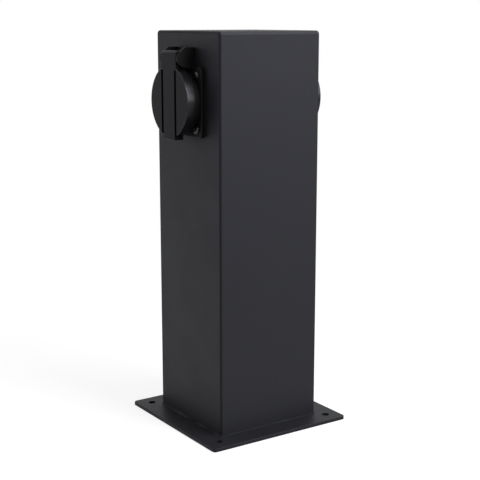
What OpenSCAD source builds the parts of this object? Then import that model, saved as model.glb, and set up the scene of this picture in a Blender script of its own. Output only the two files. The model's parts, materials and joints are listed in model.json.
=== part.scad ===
// Garden socket post: a square sheet-steel column on a base plate, with a lidded
// outdoor socket on its front face and another on its rear face.
// The origin is the middle of the base plate's underside and +Z is up.
// The front socket faces -Y and the rear socket faces +Y.

/* [Column] */
// Width and depth of the square column
column_width = 86; // [78:1:100]
// Height of the whole post above the ground
post_height = 294; // [270:1:400]
// Thickness of the column's steel sheet
sheet = 1.5; // [1:0.1:2]
// Outer radius of the two bends at the top
bend_radius = 2.8; // [2.2:0.2:8]
// Radius of the column's upright edges
edge_radius = 1.4; // [0.8:0.1:2]
// Extra radius on the panels' top corners, so that they slip into the bends
panel_corner_ease = 0.3; // [0.1:0.1:1]

/* [Base plate] */
// How far the plate stands out beyond the column on each side
plate_margin = 17; // [14:0.5:30]
// Thickness of the plate
plate_thickness = 2.5; // [2:0.5:5]
// Radius of the plate's corners
plate_corner_r = 3; // [1:0.5:6]
// Distance from the plate's edge to a ground bolt
bolt_inset = 11; // [8:0.5:11]
// Radius of the ground bolt holes
bolt_hole_r = 2.8; // [2:0.1:4]
// Radius of the cable inlet in the middle of the plate
inlet_r = 20; // [12:0.5:30]
// Leg of the weld round the column's foot
weld_leg = 1; // [0.8:0.1:2.5]
// Gap between the weld and the column
weld_root_gap = 0.02; // [0.01:0.01:0.05]

/* [Socket housing] */
// Distance from the top of the post down to the middle of each socket
socket_drop = 49.5; // [44:0.5:70]
// Width and height of the square flange
flange_width = 50; // [49:0.5:56]
// Thickness of the flange
flange_thickness = 3; // [2:0.1:4]
// Radius of the flange's corners
flange_corner_r = 3.5; // [1:0.5:5]
// Distance between the flange screws
screw_pitch = 38; // [38:0.5:40]
// Thickness of the gasket under the flange
gasket_thickness = 1; // [0.8:0.1:1.5]
// Gap between the gasket's edge and the flange's edge
gasket_inset = 0.3; // [0.1:0.1:1]
// Radius of the well that takes the plug
well_r = 19.75; // [19.5:0.05:20]
// Depth of the well
well_depth = 17.5; // [15:0.5:18]
// Height of the collar in front of the flange
collar_height = 7.4; // [6:0.1:9]
// Wall of the collar
collar_wall = 1.5; // [1.2:0.1:2]
// Wall round the well, inside the collar
well_wall = 1.4; // [1.2:0.1:2]
// Depth of the groove between the collar and the well's wall
collar_groove = 5; // [3:0.1:7]
// Wall of the cup behind the flange
cup_wall = 1.9; // [1.6:0.1:2.2]
// Gap between the cup and the hole in the column's panel
cutout_clearance = 0.4; // [0.2:0.1:0.8]
// Thickness of the well's floor
floor_thickness = 3; // [2.8:0.1:4]
// Distance between the plug's two pins
pin_pitch = 19; // [18.8:0.1:19.4]
// Radius of the pin holes in the floor
pin_hole_r = 2.9; // [2.6:0.1:3.2]
// Width of the two guide ribs in the well
rib_width = 4.8; // [3:0.1:6]
// How far the guide ribs stand into the well
rib_height = 1.6; // [1:0.1:2]
// Distance from the well's mouth to the start of the ribs
rib_setback = 4; // [2:0.5:8]

/* [Lid] */
// How far the lid's edge stands out past the flange's edge
lid_overhang = 0.5; // [0:0.1:2]
// Gap between the collar and the lid's rim
lid_gap = 0.6; // [0.4:0.1:1]
// Wall of the lid's rim
lid_rim = 1.3; // [1:0.1:2]
// Thickness of the lid's face
lid_wall = 2.8; // [2.4:0.1:4]
// How far the rim stands behind the lid's face
rim_depth = 3.8; // [2:0.1:5]
// Radius of the lid's front edge
lid_edge_r = 1; // [0.4:0.1:1.5]
// Width of the bar down the middle of the lid
bar_width = 15.6; // [14:0.2:18]
// Width of the groove on each side of the bar
groove_width = 2.5; // [1:0.1:3]
// Depth of the grooves
groove_depth = 1.5; // [0.5:0.1:2]
// How far the finger tab stands out below the lid
tab_drop = 1.4; // [1:0.1:5]
// How far the finger tab stands out behind the rim
tab_lip = 0.5; // [0:0.1:1.5]
// Thickness of the seal inside the lid
seal_thickness = 1.35; // [1:0.05:2]
// Gap between the seal and the collar
seal_gap = 0.05; // [0.02:0.01:0.2]
// Gap between the seal's edge and the lid's rim
seal_inset = 0.3; // [0.1:0.1:0.6]
// Distance from the collar's edge in to the seal's inner edge
seal_setback = 3.65; // [3:0.05:4]

/* [Hinge] */
// Distance from the lid's front face back to the hinge pin
pivot_depth = 6.4; // [6:0.1:7]
// Distance from the lid's edge up to the hinge pin
pivot_rise = 5.1; // [4.9:0.1:7]
// Radius of the hinge pin
pin_r = 1.25; // [1:0.05:1.5]
// Gap round the pin in the lid, where it turns
pin_clearance = 0.05; // [0.02:0.01:0.1]
// Gap round the pin in the cheeks, which hold it
pin_seat_gap = 0.02; // [0.01:0.01:0.03]
// Distance from each end of the pin to the outside of its cheek
pin_end_inset = 0.2; // [0:0.1:0.5]
// Thickness of the two hinge cheeks
cheek_thickness = 1.7; // [1.2:0.1:2.5]
// Radius of the cheeks round the pin
cheek_r = 6.4; // [5.8:0.1:6.5]
// Rise of the cheeks above that radius, behind the pin
cheek_rise = 1.2; // [0.3:0.1:2]
// How far the cheeks reach down onto the flange
cheek_root = 2; // [1:0.1:2.5]
// Gap between the cheeks and the lid's hinge arm
cheek_gap = 0.2; // [0.1:0.05:0.5]
// Thickness of the web behind the hinge
web_thickness = 1.5; // [1:0.1:1.8]
// Radius of the hinge arm round the pin
knuckle_r = 5.3; // [5:0.1:5.6]
// Thickness of the hinge arm below the pin
arm_thickness = 5.6; // [5:0.1:6]
// Bevel on the arm's top front edge
arm_bevel = 1.6; // [0.5:0.1:2.5]

/* [Lid spring] */
// Thickness of the spring wire
spring_wire = 0.8; // [0.6:0.05:0.9]
// Mean radius of the spring's coil
spring_r = 2.4; // [2.2:0.05:2.6]
// Gap between neighbouring turns
spring_gap = 0.45; // [0.42:0.01:0.6]
// Number of whole turns
spring_turns = 5; // [3:1:6]
// Gap between the spring and the slot in the hinge arm
spring_clearance = 0.25; // [0.15:0.05:0.4]
// Gap between the spring's rear leg and the web
spring_leg_gap = 0.1; // [0.05:0.05:0.3]
// How far the spring's front leg runs into the hinge arm
spring_leg_depth = 2.8; // [1:0.1:3]

/* [Contacts] */
// Radius of the bore that takes a plug's pin
sleeve_bore_r = 2.5; // [2.4:0.05:2.6]
// Wall of the contact sleeves
sleeve_wall = 0.9; // [0.6:0.1:1.2]
// Width and depth of a wire terminal
terminal_width = 6; // [5.6:0.1:6.4]
// Distance from the socket's middle down to a terminal's lower face
terminal_bottom = 11.5; // [10:0.1:12]
// Distance from the well's floor back to the wires
wire_setback = 8.4; // [8:0.1:9]
// Distance from a terminal's lower face up to its screw
terminal_screw_rise = 3.5; // [2.5:0.1:4.5]
// Thickness of the earth clip's strip
clip_thickness = 0.8; // [0.6:0.1:0.9]
// Width of the earth clip's arms
clip_width = 6; // [4:0.1:7]
// Gap round the arms in the housing and the terminal cover
clip_clearance = 0.15; // [0.1:0.05:0.4]
// How far the arms reach in front of the column's face
clip_reach = 3; // [1:0.1:4]
// Radius of the springy bulge near the end of each arm
clip_bulge_r = 1.2; // [0.8:0.1:1.4]

/* [Terminal cover] */
// Depth of the cover behind the socket
cover_depth = 15.9; // [15.5:0.1:20]
// Wall of the cover
cover_wall = 1.6; // [1.2:0.1:2]
// How much smaller than the cup the cover's radius is
cover_inset = 0.5; // [0.2:0.1:0.8]
// Distance from the cover's edge in to the middle of its screw posts
cover_post_inset = 4.5; // [4:0.1:5]
// Angle of the cover's screw posts above the level
cover_post_angle = 33; // [28:1:40]
// Radius of the cover's screw posts
cover_post_r = 3; // [2.5:0.1:3.2]

/* [Wires and terminals] */
// Radius of the wires' insulation
wire_r = 1.5; // [1.2:0.05:1.6]
// Radius of the bare conductors
conductor_r = 0.8; // [0.6:0.05:0.9]
// Gap round a conductor in its terminal
conductor_clearance = 0.2; // [0.1:0.05:0.3]
// Gap round a wire where it passes through a wall
wire_clearance = 0.25; // [0.1:0.05:0.4]
// Length of bare conductor at each end of a wire
bare_length = 6; // [5:0.5:7]
// Straight length of the longest wires below the cover and above the block
wire_straight = 3; // [1:0.5:10]
// Distance from the middle of a terminal way to each of its two wires
wire_split = 2; // [1.9:0.05:2.2]
// Depth of the terminal block
block_depth = 16; // [14:0.5:20]
// Height of the terminal block
block_height = 25; // [22:0.5:30]
// Width of the terminal block's fixing lugs
lug_width = 8; // [7:0.5:12]
// Thickness of the fixing lugs
lug_thickness = 5; // [3:0.5:7]
// Thickness of the block's walls
block_wall = 1.2; // [1:0.1:1.6]
// Thickness of the block's roof over its brass inserts
block_roof = 4; // [3:0.5:5]
// Depth of the brass inserts, front to back
insert_depth = 8; // [6:0.5:9]
// Height of the brass inserts
insert_height = 18; // [17:0.5:18]
// Wall of the brass inserts
insert_wall = 1; // [0.8:0.1:1.2]
// Gap between an insert and the block
insert_clearance = 0.1; // [0.05:0.05:0.2]
// Thickness of the bracket that carries the block
bracket_sheet = 1.5; // [1:0.1:2.5]
// Length of the bracket's two welded tabs
bracket_tab = 15; // [8:0.5:20]
// Inner radius of the bracket's bends
bracket_bend_r = 1.5; // [0.5:0.5:3]

/* [Fasteners] */
// Radius of the flange screws
flange_screw_r = 1.45; // [1.2:0.05:1.7]
// Radius of the flange screws' heads
flange_head_r = 3; // [2.6:0.1:3]
// Height of the flange screws' heads
flange_head_h = 1.9; // [1.4:0.1:2.5]
// Height of the straight side of the flange screws' heads
flange_head_side = 1.1; // [0.6:0.1:1.3]
// Length of the flange screws below their heads
flange_screw_length = 9; // [7:0.5:12]
// Width of the cross in the screw heads
cross_width = 0.9; // [0.6:0.1:1.2]
// Length of the cross in the screw heads
cross_length = 3.6; // [2:0.1:4]
// Depth of the cross in the screw heads
cross_depth = 1; // [0.5:0.1:1.2]
// Gap round the flange screws' heads, where the collar makes way for them
head_clearance = 0.25; // [0.1:0.05:0.25]
// Gap round the screws in the holes that they pass through
screw_clearance = 0.3; // [0.2:0.05:0.4]
// Gap round the screws in the holes that they are driven into
thread_gap = 0.03; // [0.02:0.01:0.05]
// Radius of the small screws in the cover, the terminals and the block
small_screw_r = 1.25; // [1:0.05:1.4]
// Radius of the small screws' heads
small_head_r = 2.2; // [1.8:0.1:2.3]
// Height of the small screws' heads
small_head_h = 1.4; // [1:0.1:1.6]
// Width of the slot in the small screws' heads
slot_width = 0.7; // [0.5:0.1:1]
// Depth of the slot in the small screws' heads
slot_depth = 0.7; // [0.4:0.1:0.8]
// How far the cover screws reach into the well's floor
cover_screw_bite = 2.2; // [1.5:0.1:2.4]
// Radius of the earth stud
stud_r = 2; // [1.5:0.1:2.5]
// Length of the earth stud
stud_length = 10; // [8:0.5:14]
// Distance from the terminal block down to the earth stud
stud_drop = 8; // [4:0.5:20]
// Width across the flats of the earth nut
nut_width = 7; // [6:0.5:8]
// Thickness of the earth nut
nut_height = 3.2; // [2:0.1:4]
// Radius of the earth lug's ring
ring_r = 4.5; // [4:0.1:6]
// Thickness of the earth lug
ring_thickness = 1; // [0.6:0.1:1.5]
// Wall of the earth lug's barrel
barrel_wall = 0.6; // [0.4:0.1:1]
// Length of the earth lug's barrel
barrel_length = 7; // [5:0.5:10]

/* [Hidden] */
$fn = 64;
// A little more than a cut needs, so that it passes through
over = 1;
// Sides of the earth nut, and sides and points per arc of the swept wires and springs
nut_sides = 6;
wire_sides = 8;
spring_sides = 6;
arc_steps = 8;

// Column and plate
half = column_width / 2;
inner_half = half - sheet;
edge_r = min(edge_radius, sheet);
bend_inner_r = bend_radius - sheet;
panel_top = post_height - sheet;
plate_width = column_width + 2 * plate_margin;
bolt_spacing = plate_width - 2 * bolt_inset;
socket_z = post_height - socket_drop;

// Distances out from the column's face, at each socket
flange_front = gasket_thickness + flange_thickness;
collar_front = flange_front + collar_height;
collar_floor = collar_front - collar_groove;
well_floor = collar_front - well_depth;
floor_back = well_floor - floor_thickness;
cover_back = floor_back - cover_depth;
cover_floor = cover_back + cover_wall;
wire_out = floor_back - wire_setback;
lid_back = collar_front + seal_gap + seal_thickness;
lid_front = lid_back + lid_wall;
rim_back = lid_back - rim_depth;
pivot_out = lid_front - pivot_depth;
web_front = gasket_thickness + web_thickness;
arm_back = lid_front - arm_thickness;

// Radii and heights about the middle of each socket
lid_r = flange_width / 2 + lid_overhang;
lid_inner_r = lid_r - lid_rim;
collar_r = lid_inner_r - lid_gap;
cup_r = well_r + cup_wall;
cutout_r = cup_r + cutout_clearance;
cover_r = cup_r - cover_inset;
cover_inner_r = cover_r - cover_wall;
pivot_up = lid_r + pivot_rise;
hinge_top = pivot_up + cheek_r + cheek_rise;
arm_top = pivot_up + knuckle_r;
arm_foot = lid_inner_r - 2 * lid_rim;
bar_half = bar_width / 2;
arm_half = bar_half + groove_width;
groove_top = sqrt(pow(lid_r - lid_edge_r, 2) - pow(arm_half, 2));
cheek_in = arm_half + cheek_gap;
cheek_out = cheek_in + cheek_thickness;
cheek_foot = flange_width / 2 - cheek_root;

// Earth clip, in slots at the top and bottom of the well
clip_out = well_r + clip_thickness;
slot_top = clip_out + clip_clearance;
slot_half = clip_width / 2 + clip_clearance;

// Spring
spring_pitch = spring_wire + spring_gap;
quarter_turn = 90;
full_turn = 360;
spring_sweep = spring_turns * full_turn + quarter_turn;
spring_length = spring_pitch * spring_sweep / full_turn;
spring_space = spring_r + spring_wire / 2 + spring_clearance;
spring_slot_half = spring_length / 2 + spring_wire / 2 + spring_clearance;
spring_leg_end = pivot_up - spring_space - spring_leg_depth;

// Contacts and terminals
contact_x = pin_pitch / 2;
sleeve_r = sleeve_bore_r + sleeve_wall;
terminal_back = wire_out - terminal_width / 2;
terminal_x = [-contact_x - wire_split, -wire_split, contact_x - wire_split];
terminal_screw_up = terminal_screw_rise - terminal_bottom;

// Terminal block, bracket and wires, in the column
way_x = [-contact_x, 0, contact_x];
port_y = -block_depth / 2;
terminal_y = half + wire_out;
bend_half_angle = 60;
rear_shift = terminal_y - port_y;
skin_top = socket_z - terminal_bottom - wire_clearance;
wire_exit = socket_z - cover_r - wire_clearance;
rear_drop = 2 * rear_shift * sin(bend_half_angle);
block_top = wire_exit - rear_drop - 2 * wire_straight;
block_bottom = block_top - block_height;
insert_half = wire_split + conductor_r + conductor_clearance + insert_wall;
insert_top = block_top - block_roof;
insert_bottom = insert_top - insert_height;
insert_front = port_y - insert_depth / 2;
block_half = contact_x + insert_half + block_wall;
lug_x = block_half + lug_width / 2;
clamp_z = [insert_top - bare_length / 2, insert_bottom + bare_length / 2];
fixing_z = block_bottom + block_height / 2;

// Earth stud, lug and bonding wire, on the right-hand wall
stud_z = block_bottom - stud_drop;
stud_y = port_y;
barrel_r = wire_r + conductor_clearance + barrel_wall;
barrel_x = inner_half - barrel_r - wire_clearance;
barrel_top = stud_z - ring_r;
barrel_bottom = barrel_top - barrel_length;
bond_radius = (barrel_x - wire_split) / 2;
bond_bend_z = barrel_bottom - wire_straight;

// Points and tubes
function unit(v) = v / norm(v);
function heading(path, i) = unit(path[min(i + 1, len(path) - 1)] - path[max(i - 1, 0)]);
function ring(p, along, side, r, sides) =
    let (a = unit(cross(along, side)), b = cross(a, along))
    [for (k = [0 : sides - 1]) p + r * (cos(full_turn * k / sides) * a + sin(full_turn * k / sides) * b)];
function tube_points(path, radii, side, sides) =
    [for (i = [0 : len(path) - 1]) each ring(path[i], heading(path, i), side, radii[i], sides)];
function tube_faces(rings, sides) = concat(
    [for (k = [1 : sides - 2]) [0, k, k + 1]],
    [for (i = [0 : rings - 2], k = [0 : sides - 1])
        let (a = i * sides + k, b = i * sides + (k + 1) % sides)
        each [[a, a + sides, b], [b, a + sides, b + sides]]],
    [for (k = [1 : sides - 2]) let (end = (rings - 1) * sides) [end, end + k + 1, end + k]]
);
function least_gap(path, skip, thickness) = min([
    for (i = [0 : len(path) - 1 - skip], j = [i + skip : len(path) - 1]) norm(path[i] - path[j])
]) - thickness;

module tube(path, radii, side, sides) {
    polyhedron(tube_points(path, radii, side, sides), tube_faces(len(path), sides));
}

// Flat shapes
module rounded_square(width, r) {
    square([width - 2 * r, width], center = true);
    square([width, width - 2 * r], center = true);
    corner = width / 2 - r;
    for (x = [-corner, corner], y = [-corner, corner])
        translate([x, y]) circle(r);
}

// An upright shape with its two top corners rounded, standing on the ground line
module arched(width, height, r) {
    translate([-width / 2, 0]) square([width, height - r]);
    translate([r - width / 2, 0]) square([width - 2 * r, height]);
    for (side = [-1, 1])
        translate([side * (width / 2 - r), height - r]) circle(r);
}

// A disc that stands on the ground plane, with its upper edge rounded
module rounded_disc(r, height, edge) {
    rotate_extrude() {
        square([r - edge, height]);
        square([r, height - edge]);
        translate([r - edge, height - edge]) circle(edge);
    }
}

// Places on the post
module on_front() {
    translate([0, -half, socket_z]) rotate([90, 0, 0]) children();
}
module on_rear() {
    rotate([0, 0, 180]) on_front() children();
}
module at_flange_screws() {
    for (x = [-1, 1], y = [-1, 1])
        translate([x, y] * screw_pitch / 2) children();
}
module at_cover_posts() {
    reach = cover_r - cover_post_inset;
    for (side = [-1, 1])
        translate([side * reach * cos(cover_post_angle), reach * sin(cover_post_angle)]) children();
}
module at_hinge() {
    translate([0, pivot_up, pivot_out]) rotate([0, 90, 0]) children();
}

// A shape drawn as distance out and height, given a width across the socket
module across(width) {
    rotate([0, -90, 0]) linear_extrude(width, center = true) children();
}

// A box from its least and greatest corners
module box(low, high) {
    translate(low) cube(high - low);
}

// Screws that point along -Z, with the underside of the head at the origin
module cross_cut(height) {
    for (turn = [0, quarter_turn])
        rotate(turn)
            translate([0, 0, height]) cube([cross_length, cross_width, 2 * cross_depth], center = true);
}
module pan_screw() {
    rise = flange_head_h - flange_head_side;
    dome_r = (flange_head_r * flange_head_r + rise * rise) / (2 * rise);
    difference() {
        union() {
            intersection() {
                cylinder(r = flange_head_r, h = flange_head_h + over);
                translate([0, 0, flange_head_h - dome_r]) sphere(dome_r);
            }
            translate([0, 0, -flange_screw_length])
                cylinder(r = flange_screw_r, h = flange_screw_length + flange_head_side);
        }
        cross_cut(flange_head_h);
    }
}
module slotted_screw(length) {
    difference() {
        union() {
            cylinder(r = small_head_r, h = small_head_h);
            translate([0, 0, -length]) cylinder(r = small_screw_r, h = length + small_head_h / 2);
        }
        translate([0, 0, small_head_h])
            cube([2 * small_head_r + over, slot_width, 2 * slot_depth], center = true);
    }
}

// Steel post
module base_plate() {
    color("#2c2c2e") difference() {
        linear_extrude(plate_thickness) rounded_square(plate_width, plate_corner_r);
        for (x = [-1, 1], y = [-1, 1])
            translate([x * bolt_spacing / 2, y * bolt_spacing / 2, -over])
                cylinder(r = bolt_hole_r, h = plate_thickness + 2 * over);
        translate([0, 0, -over]) cylinder(r = inlet_r, h = plate_thickness + 2 * over);
    }
}
module column_wrap() {
    wall_height = post_height - plate_thickness;
    color("#38383b") translate([0, 0, plate_thickness]) intersection() {
        rotate([90, 0, 0]) linear_extrude(column_width, center = true) difference() {
            arched(column_width, wall_height, bend_radius);
            translate([0, -over]) arched(2 * inner_half, wall_height - sheet + over, bend_inner_r);
        }
        translate([0, 0, -over])
            linear_extrude(wall_height + 2 * over) rounded_square(column_width, edge_r);
    }
}
module face_panel() {
    panel_height = panel_top - plate_thickness;
    color("#3a3a3d") translate([0, plate_thickness - socket_z, -sheet]) difference() {
        linear_extrude(sheet) arched(2 * inner_half, panel_height, bend_inner_r + panel_corner_ease);
        translate([0, socket_z - plate_thickness, -over]) {
            cylinder(r = cutout_r, h = sheet + 2 * over);
            at_flange_screws() cylinder(r = flange_screw_r + thread_gap, h = sheet + 2 * over);
        }
    }
}
module front_panel() { on_front() face_panel(); }
module rear_panel() { on_rear() face_panel(); }

// The weld is straight along the four sides and turns round the four edges
module weld_section(start) {
    polygon([[start, 0], [start + weld_leg, 0], [start, weld_leg]]);
}
module foot_weld() {
    run = column_width - 2 * edge_r;
    color("#333336") translate([0, 0, plate_thickness])
        for (turn = [0 : quarter_turn : full_turn - quarter_turn])
            rotate(turn) {
                translate([0, run / 2, 0]) rotate([90, 0, 0])
                    linear_extrude(run) weld_section(half + weld_root_gap);
                translate([half - edge_r, half - edge_r, 0])
                    rotate_extrude(angle = quarter_turn) weld_section(edge_r + weld_root_gap);
            }
}

// Socket housing and its gasket
module socket_outline(inset) {
    rounded_square(flange_width - 2 * inset, flange_corner_r - inset);
    translate([inset - cheek_out, 0]) square([2 * (cheek_out - inset), hinge_top - inset]);
}
module flange_gasket() {
    color("#151516") difference() {
        linear_extrude(gasket_thickness) socket_outline(gasket_inset);
        translate([0, 0, -over]) {
            cylinder(r = cutout_r, h = gasket_thickness + 2 * over);
            at_flange_screws()
                cylinder(r = flange_screw_r + screw_clearance, h = gasket_thickness + 2 * over);
        }
    }
}
module front_flange_gasket() { on_front() flange_gasket(); }
module rear_flange_gasket() { on_rear() flange_gasket(); }

module cheek_shape() {
    polygon([
        [gasket_thickness, cheek_foot], [gasket_thickness, hinge_top], [pivot_out, hinge_top],
        [pivot_out + cheek_r * cos(quarter_turn / 2), pivot_up + cheek_r * sin(quarter_turn / 2)],
        [pivot_out, pivot_up - cheek_r], [flange_front, cheek_foot]
    ]);
    translate([pivot_out, pivot_up]) circle(cheek_r);
}
module well_cuts() {
    translate([0, 0, well_floor]) cylinder(r = well_r, h = well_depth + over);
    for (side = [-1, 1])
        translate([side * contact_x, 0, floor_back - over])
            cylinder(r = pin_hole_r, h = floor_thickness + 2 * over);
    for (turn = [0, 2 * quarter_turn])
        rotate(turn)
            box([-slot_half, well_r - clip_thickness, floor_back - over],
                [slot_half, slot_top, clip_reach + clip_clearance]);
}
module guide_ribs() {
    for (turn = [0, 2 * quarter_turn])
        rotate(turn)
            box([well_r - rib_height, -rib_width / 2, well_floor],
                [well_r + cup_wall / 2, rib_width / 2, collar_front - rib_setback]);
}
module collar() {
    difference() {
        union() {
            translate([0, 0, gasket_thickness + over])
                cylinder(r = collar_r, h = collar_floor - gasket_thickness - over);
            translate([0, 0, collar_floor - over])
                cylinder(r = well_r + well_wall, h = collar_groove + over);
            translate([0, 0, collar_floor - over]) difference() {
                cylinder(r = collar_r, h = collar_groove + over);
                cylinder(r = collar_r - collar_wall, h = collar_groove + 2 * over);
            }
        }
        translate([0, 0, flange_front]) at_flange_screws()
            cylinder(r = flange_head_r + head_clearance, h = collar_height + over);
    }
}
module housing() {
    color("#161618") difference() {
        union() {
            difference() {
                union() {
                    translate([0, 0, gasket_thickness]) linear_extrude(flange_thickness)
                        rounded_square(flange_width, flange_corner_r);
                    collar();
                    translate([0, 0, floor_back])
                        cylinder(r = cup_r, h = gasket_thickness + over - floor_back);
                }
                well_cuts();
            }
            guide_ribs();
            box([-cheek_out, cheek_foot, gasket_thickness], [cheek_out, hinge_top, web_front]);
            for (side = [-1, 1])
                translate([side * (cheek_in + cheek_thickness / 2), 0, 0])
                    across(cheek_thickness) cheek_shape();
        }
        translate([0, 0, gasket_thickness - over]) at_flange_screws()
            cylinder(r = flange_screw_r + screw_clearance, h = flange_thickness + 2 * over);
        translate([0, 0, floor_back - over]) at_cover_posts()
            cylinder(r = small_screw_r + thread_gap, h = cover_screw_bite + over);
        at_hinge() cylinder(r = pin_r + pin_seat_gap, h = 2 * (cheek_out + over), center = true);
    }
}
module front_housing() { on_front() housing(); }
module rear_housing() { on_rear() housing(); }

module flange_screws() {
    color("#3a3b3e") translate([0, 0, flange_front]) at_flange_screws() pan_screw();
}
module front_flange_screws() { on_front() flange_screws(); }
module rear_flange_screws() { on_rear() flange_screws(); }

// Lid, with its hinge arm at the top and its finger tab at the bottom
module arm_shape() {
    polygon([
        [arm_back, arm_foot], [lid_front, arm_foot], [lid_front, arm_top - arm_bevel],
        [lid_front - arm_bevel, arm_top], [pivot_out, arm_top],
        [pivot_out, pivot_up - knuckle_r], [arm_back, pivot_up - knuckle_r]
    ]);
    translate([pivot_out, pivot_up]) circle(knuckle_r);
}
module spring_slot() {
    box([-spring_slot_half, pivot_up - spring_space, pivot_out - knuckle_r - over],
        [spring_slot_half, pivot_up + spring_space, pivot_out + spring_space]);
    translate([spring_length / 2, spring_leg_end - spring_clearance, pivot_out + spring_r])
        rotate([-90, 0, 0])
            cylinder(r = (spring_wire + spring_clearance) / 2, h = spring_leg_depth + spring_space);
}
module lid() {
    color("#29292c") difference() {
        union() {
            translate([0, 0, rim_back]) rounded_disc(lid_r, lid_front - rim_back, lid_edge_r);
            across(2 * arm_half) arm_shape();
            box([-bar_half, -lid_r - tab_drop, rim_back - tab_lip], [bar_half, -arm_foot, lid_front]);
        }
        translate([0, 0, rim_back - tab_lip - over])
            cylinder(r = lid_inner_r, h = rim_depth + tab_lip + over);
        for (side = [0, 1])
            mirror([side, 0, 0])
                box([bar_half, -lid_r, lid_front - groove_depth], [arm_half, groove_top, lid_front + over]);
        at_hinge() cylinder(r = pin_r + pin_clearance, h = 2 * (arm_half + over), center = true);
        spring_slot();
    }
}
module front_lid() { on_front() lid(); }
module rear_lid() { on_rear() lid(); }

module lid_seal() {
    color("#101011") translate([0, 0, collar_front + seal_gap]) difference() {
        cylinder(r = lid_inner_r - seal_inset, h = seal_thickness);
        translate([0, 0, -over]) cylinder(r = collar_r - seal_setback, h = seal_thickness + 2 * over);
    }
}
module front_lid_seal() { on_front() lid_seal(); }
module rear_lid_seal() { on_rear() lid_seal(); }

module hinge_pin() {
    color("#a9acb0") at_hinge()
        cylinder(r = pin_r, h = 2 * (cheek_out - pin_end_inset), center = true);
}
module front_hinge_pin() { on_front() hinge_pin(); }
module rear_hinge_pin() { on_rear() hinge_pin(); }

// The spring starts on the web, winds round the pin and ends in the hinge arm
coil_step = full_turn / arc_steps;
spring_path = concat(
    [[-spring_length / 2, pivot_up + spring_r, web_front + spring_leg_gap]],
    [for (turned = [0 : coil_step : spring_sweep])
        [spring_pitch * turned / full_turn - spring_length / 2,
         pivot_up + spring_r * cos(turned), pivot_out + spring_r * sin(turned)]],
    [[spring_length / 2, spring_leg_end, pivot_out + spring_r]]
);
module lid_spring() {
    color("#b4b7bb")
        tube(spring_path, [for (p = spring_path) spring_wire / 2], [1, 0, 0], spring_sides);
}
module front_lid_spring() { on_front() lid_spring(); }
module rear_lid_spring() { on_rear() lid_spring(); }

// Cover over the terminals, behind the socket
module terminal_cover() {
    color("#3c3c40") difference() {
        union() {
            translate([0, 0, cover_back]) difference() {
                cylinder(r = cover_r, h = cover_depth);
                translate([0, 0, cover_wall]) cylinder(r = cover_inner_r, h = cover_depth);
            }
            translate([0, 0, cover_back + cover_wall / 2]) at_cover_posts()
                cylinder(r = cover_post_r, h = cover_depth - cover_wall / 2);
        }
        translate([0, 0, cover_back - over]) at_cover_posts()
            cylinder(r = small_screw_r + screw_clearance, h = cover_depth + 2 * over);
        for (x = terminal_x)
            translate([x, -terminal_bottom, wire_out]) rotate([90, 0, 0])
                cylinder(r = wire_r + wire_clearance, h = cover_r);
        box([-slot_half, -cover_r - over, floor_back - clip_thickness - clip_clearance],
            [slot_half, cover_r + over, floor_back + over]);
    }
}
module front_terminal_cover() { on_front() terminal_cover(); }
module rear_terminal_cover() { on_rear() terminal_cover(); }

module cover_screws() {
    color("#b9bcc0") translate([0, 0, cover_back]) at_cover_posts()
        rotate([180, 0, 0]) slotted_screw(cover_depth + cover_screw_bite - thread_gap);
}
module front_cover_screws() { on_front() cover_screws(); }
module rear_cover_screws() { on_rear() cover_screws(); }

// Contacts, each with a terminal for its wire
module terminal_cuts(x) {
    translate([x, -terminal_bottom - over, wire_out]) rotate([-90, 0, 0])
        cylinder(r = conductor_r + conductor_clearance, h = bare_length + conductor_clearance + over);
    translate([x, terminal_screw_up, terminal_back - over])
        cylinder(r = small_screw_r + thread_gap, h = terminal_width / 2 + over);
}
module pin_contact(side) {
    x = side * contact_x - wire_split;
    sleeve_start = cover_floor + conductor_clearance;
    color("#b08a3e") difference() {
        union() {
            translate([side * contact_x, 0, sleeve_start])
                cylinder(r = sleeve_r, h = floor_back - sleeve_start);
            box([x - terminal_width / 2, -terminal_bottom, terminal_back],
                [x + terminal_width / 2, -sleeve_bore_r - sleeve_wall / 2,
                 terminal_back + terminal_width]);
        }
        translate([side * contact_x, 0, sleeve_start - over])
            cylinder(r = sleeve_bore_r, h = floor_back - sleeve_start + 2 * over);
        terminal_cuts(x);
    }
}
module front_live_contact() { on_front() pin_contact(-1); }
module rear_live_contact() { on_rear() pin_contact(1); }
module front_neutral_contact() { on_front() pin_contact(1); }
module rear_neutral_contact() { on_rear() pin_contact(-1); }

module earth_clip() {
    strap_back = floor_back - clip_thickness;
    color("#b08a3e") difference() {
        union() {
            box([-clip_width / 2, -clip_out, strap_back], [clip_width / 2, clip_out, floor_back]);
            for (turn = [0, 2 * quarter_turn])
                rotate(turn) {
                    box([-clip_width / 2, well_r, strap_back], [clip_width / 2, clip_out, clip_reach]);
                    translate([0, well_r - clip_bulge_r / 2, clip_reach - 2 * clip_bulge_r])
                        rotate([0, 90, 0]) cylinder(r = clip_bulge_r, h = clip_width, center = true);
                }
            box([-wire_split - terminal_width / 2, -terminal_bottom, terminal_back],
                [terminal_width / 2 - wire_split, 2 * clip_thickness + bare_length - terminal_bottom,
                 floor_back - clip_thickness / 2]);
        }
        terminal_cuts(-wire_split);
    }
}
module front_earth_clip() { on_front() earth_clip(); }
module rear_earth_clip() { on_rear() earth_clip(); }

module terminal_screws() {
    color("#b9bcc0") for (x = terminal_x)
        translate([x, terminal_screw_up, terminal_back]) rotate([180, 0, 0])
            slotted_screw(terminal_width / 2 - conductor_r - thread_gap);
}
module front_terminal_screws() { on_front() terminal_screws(); }
module rear_terminal_screws() { on_rear() terminal_screws(); }

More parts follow.
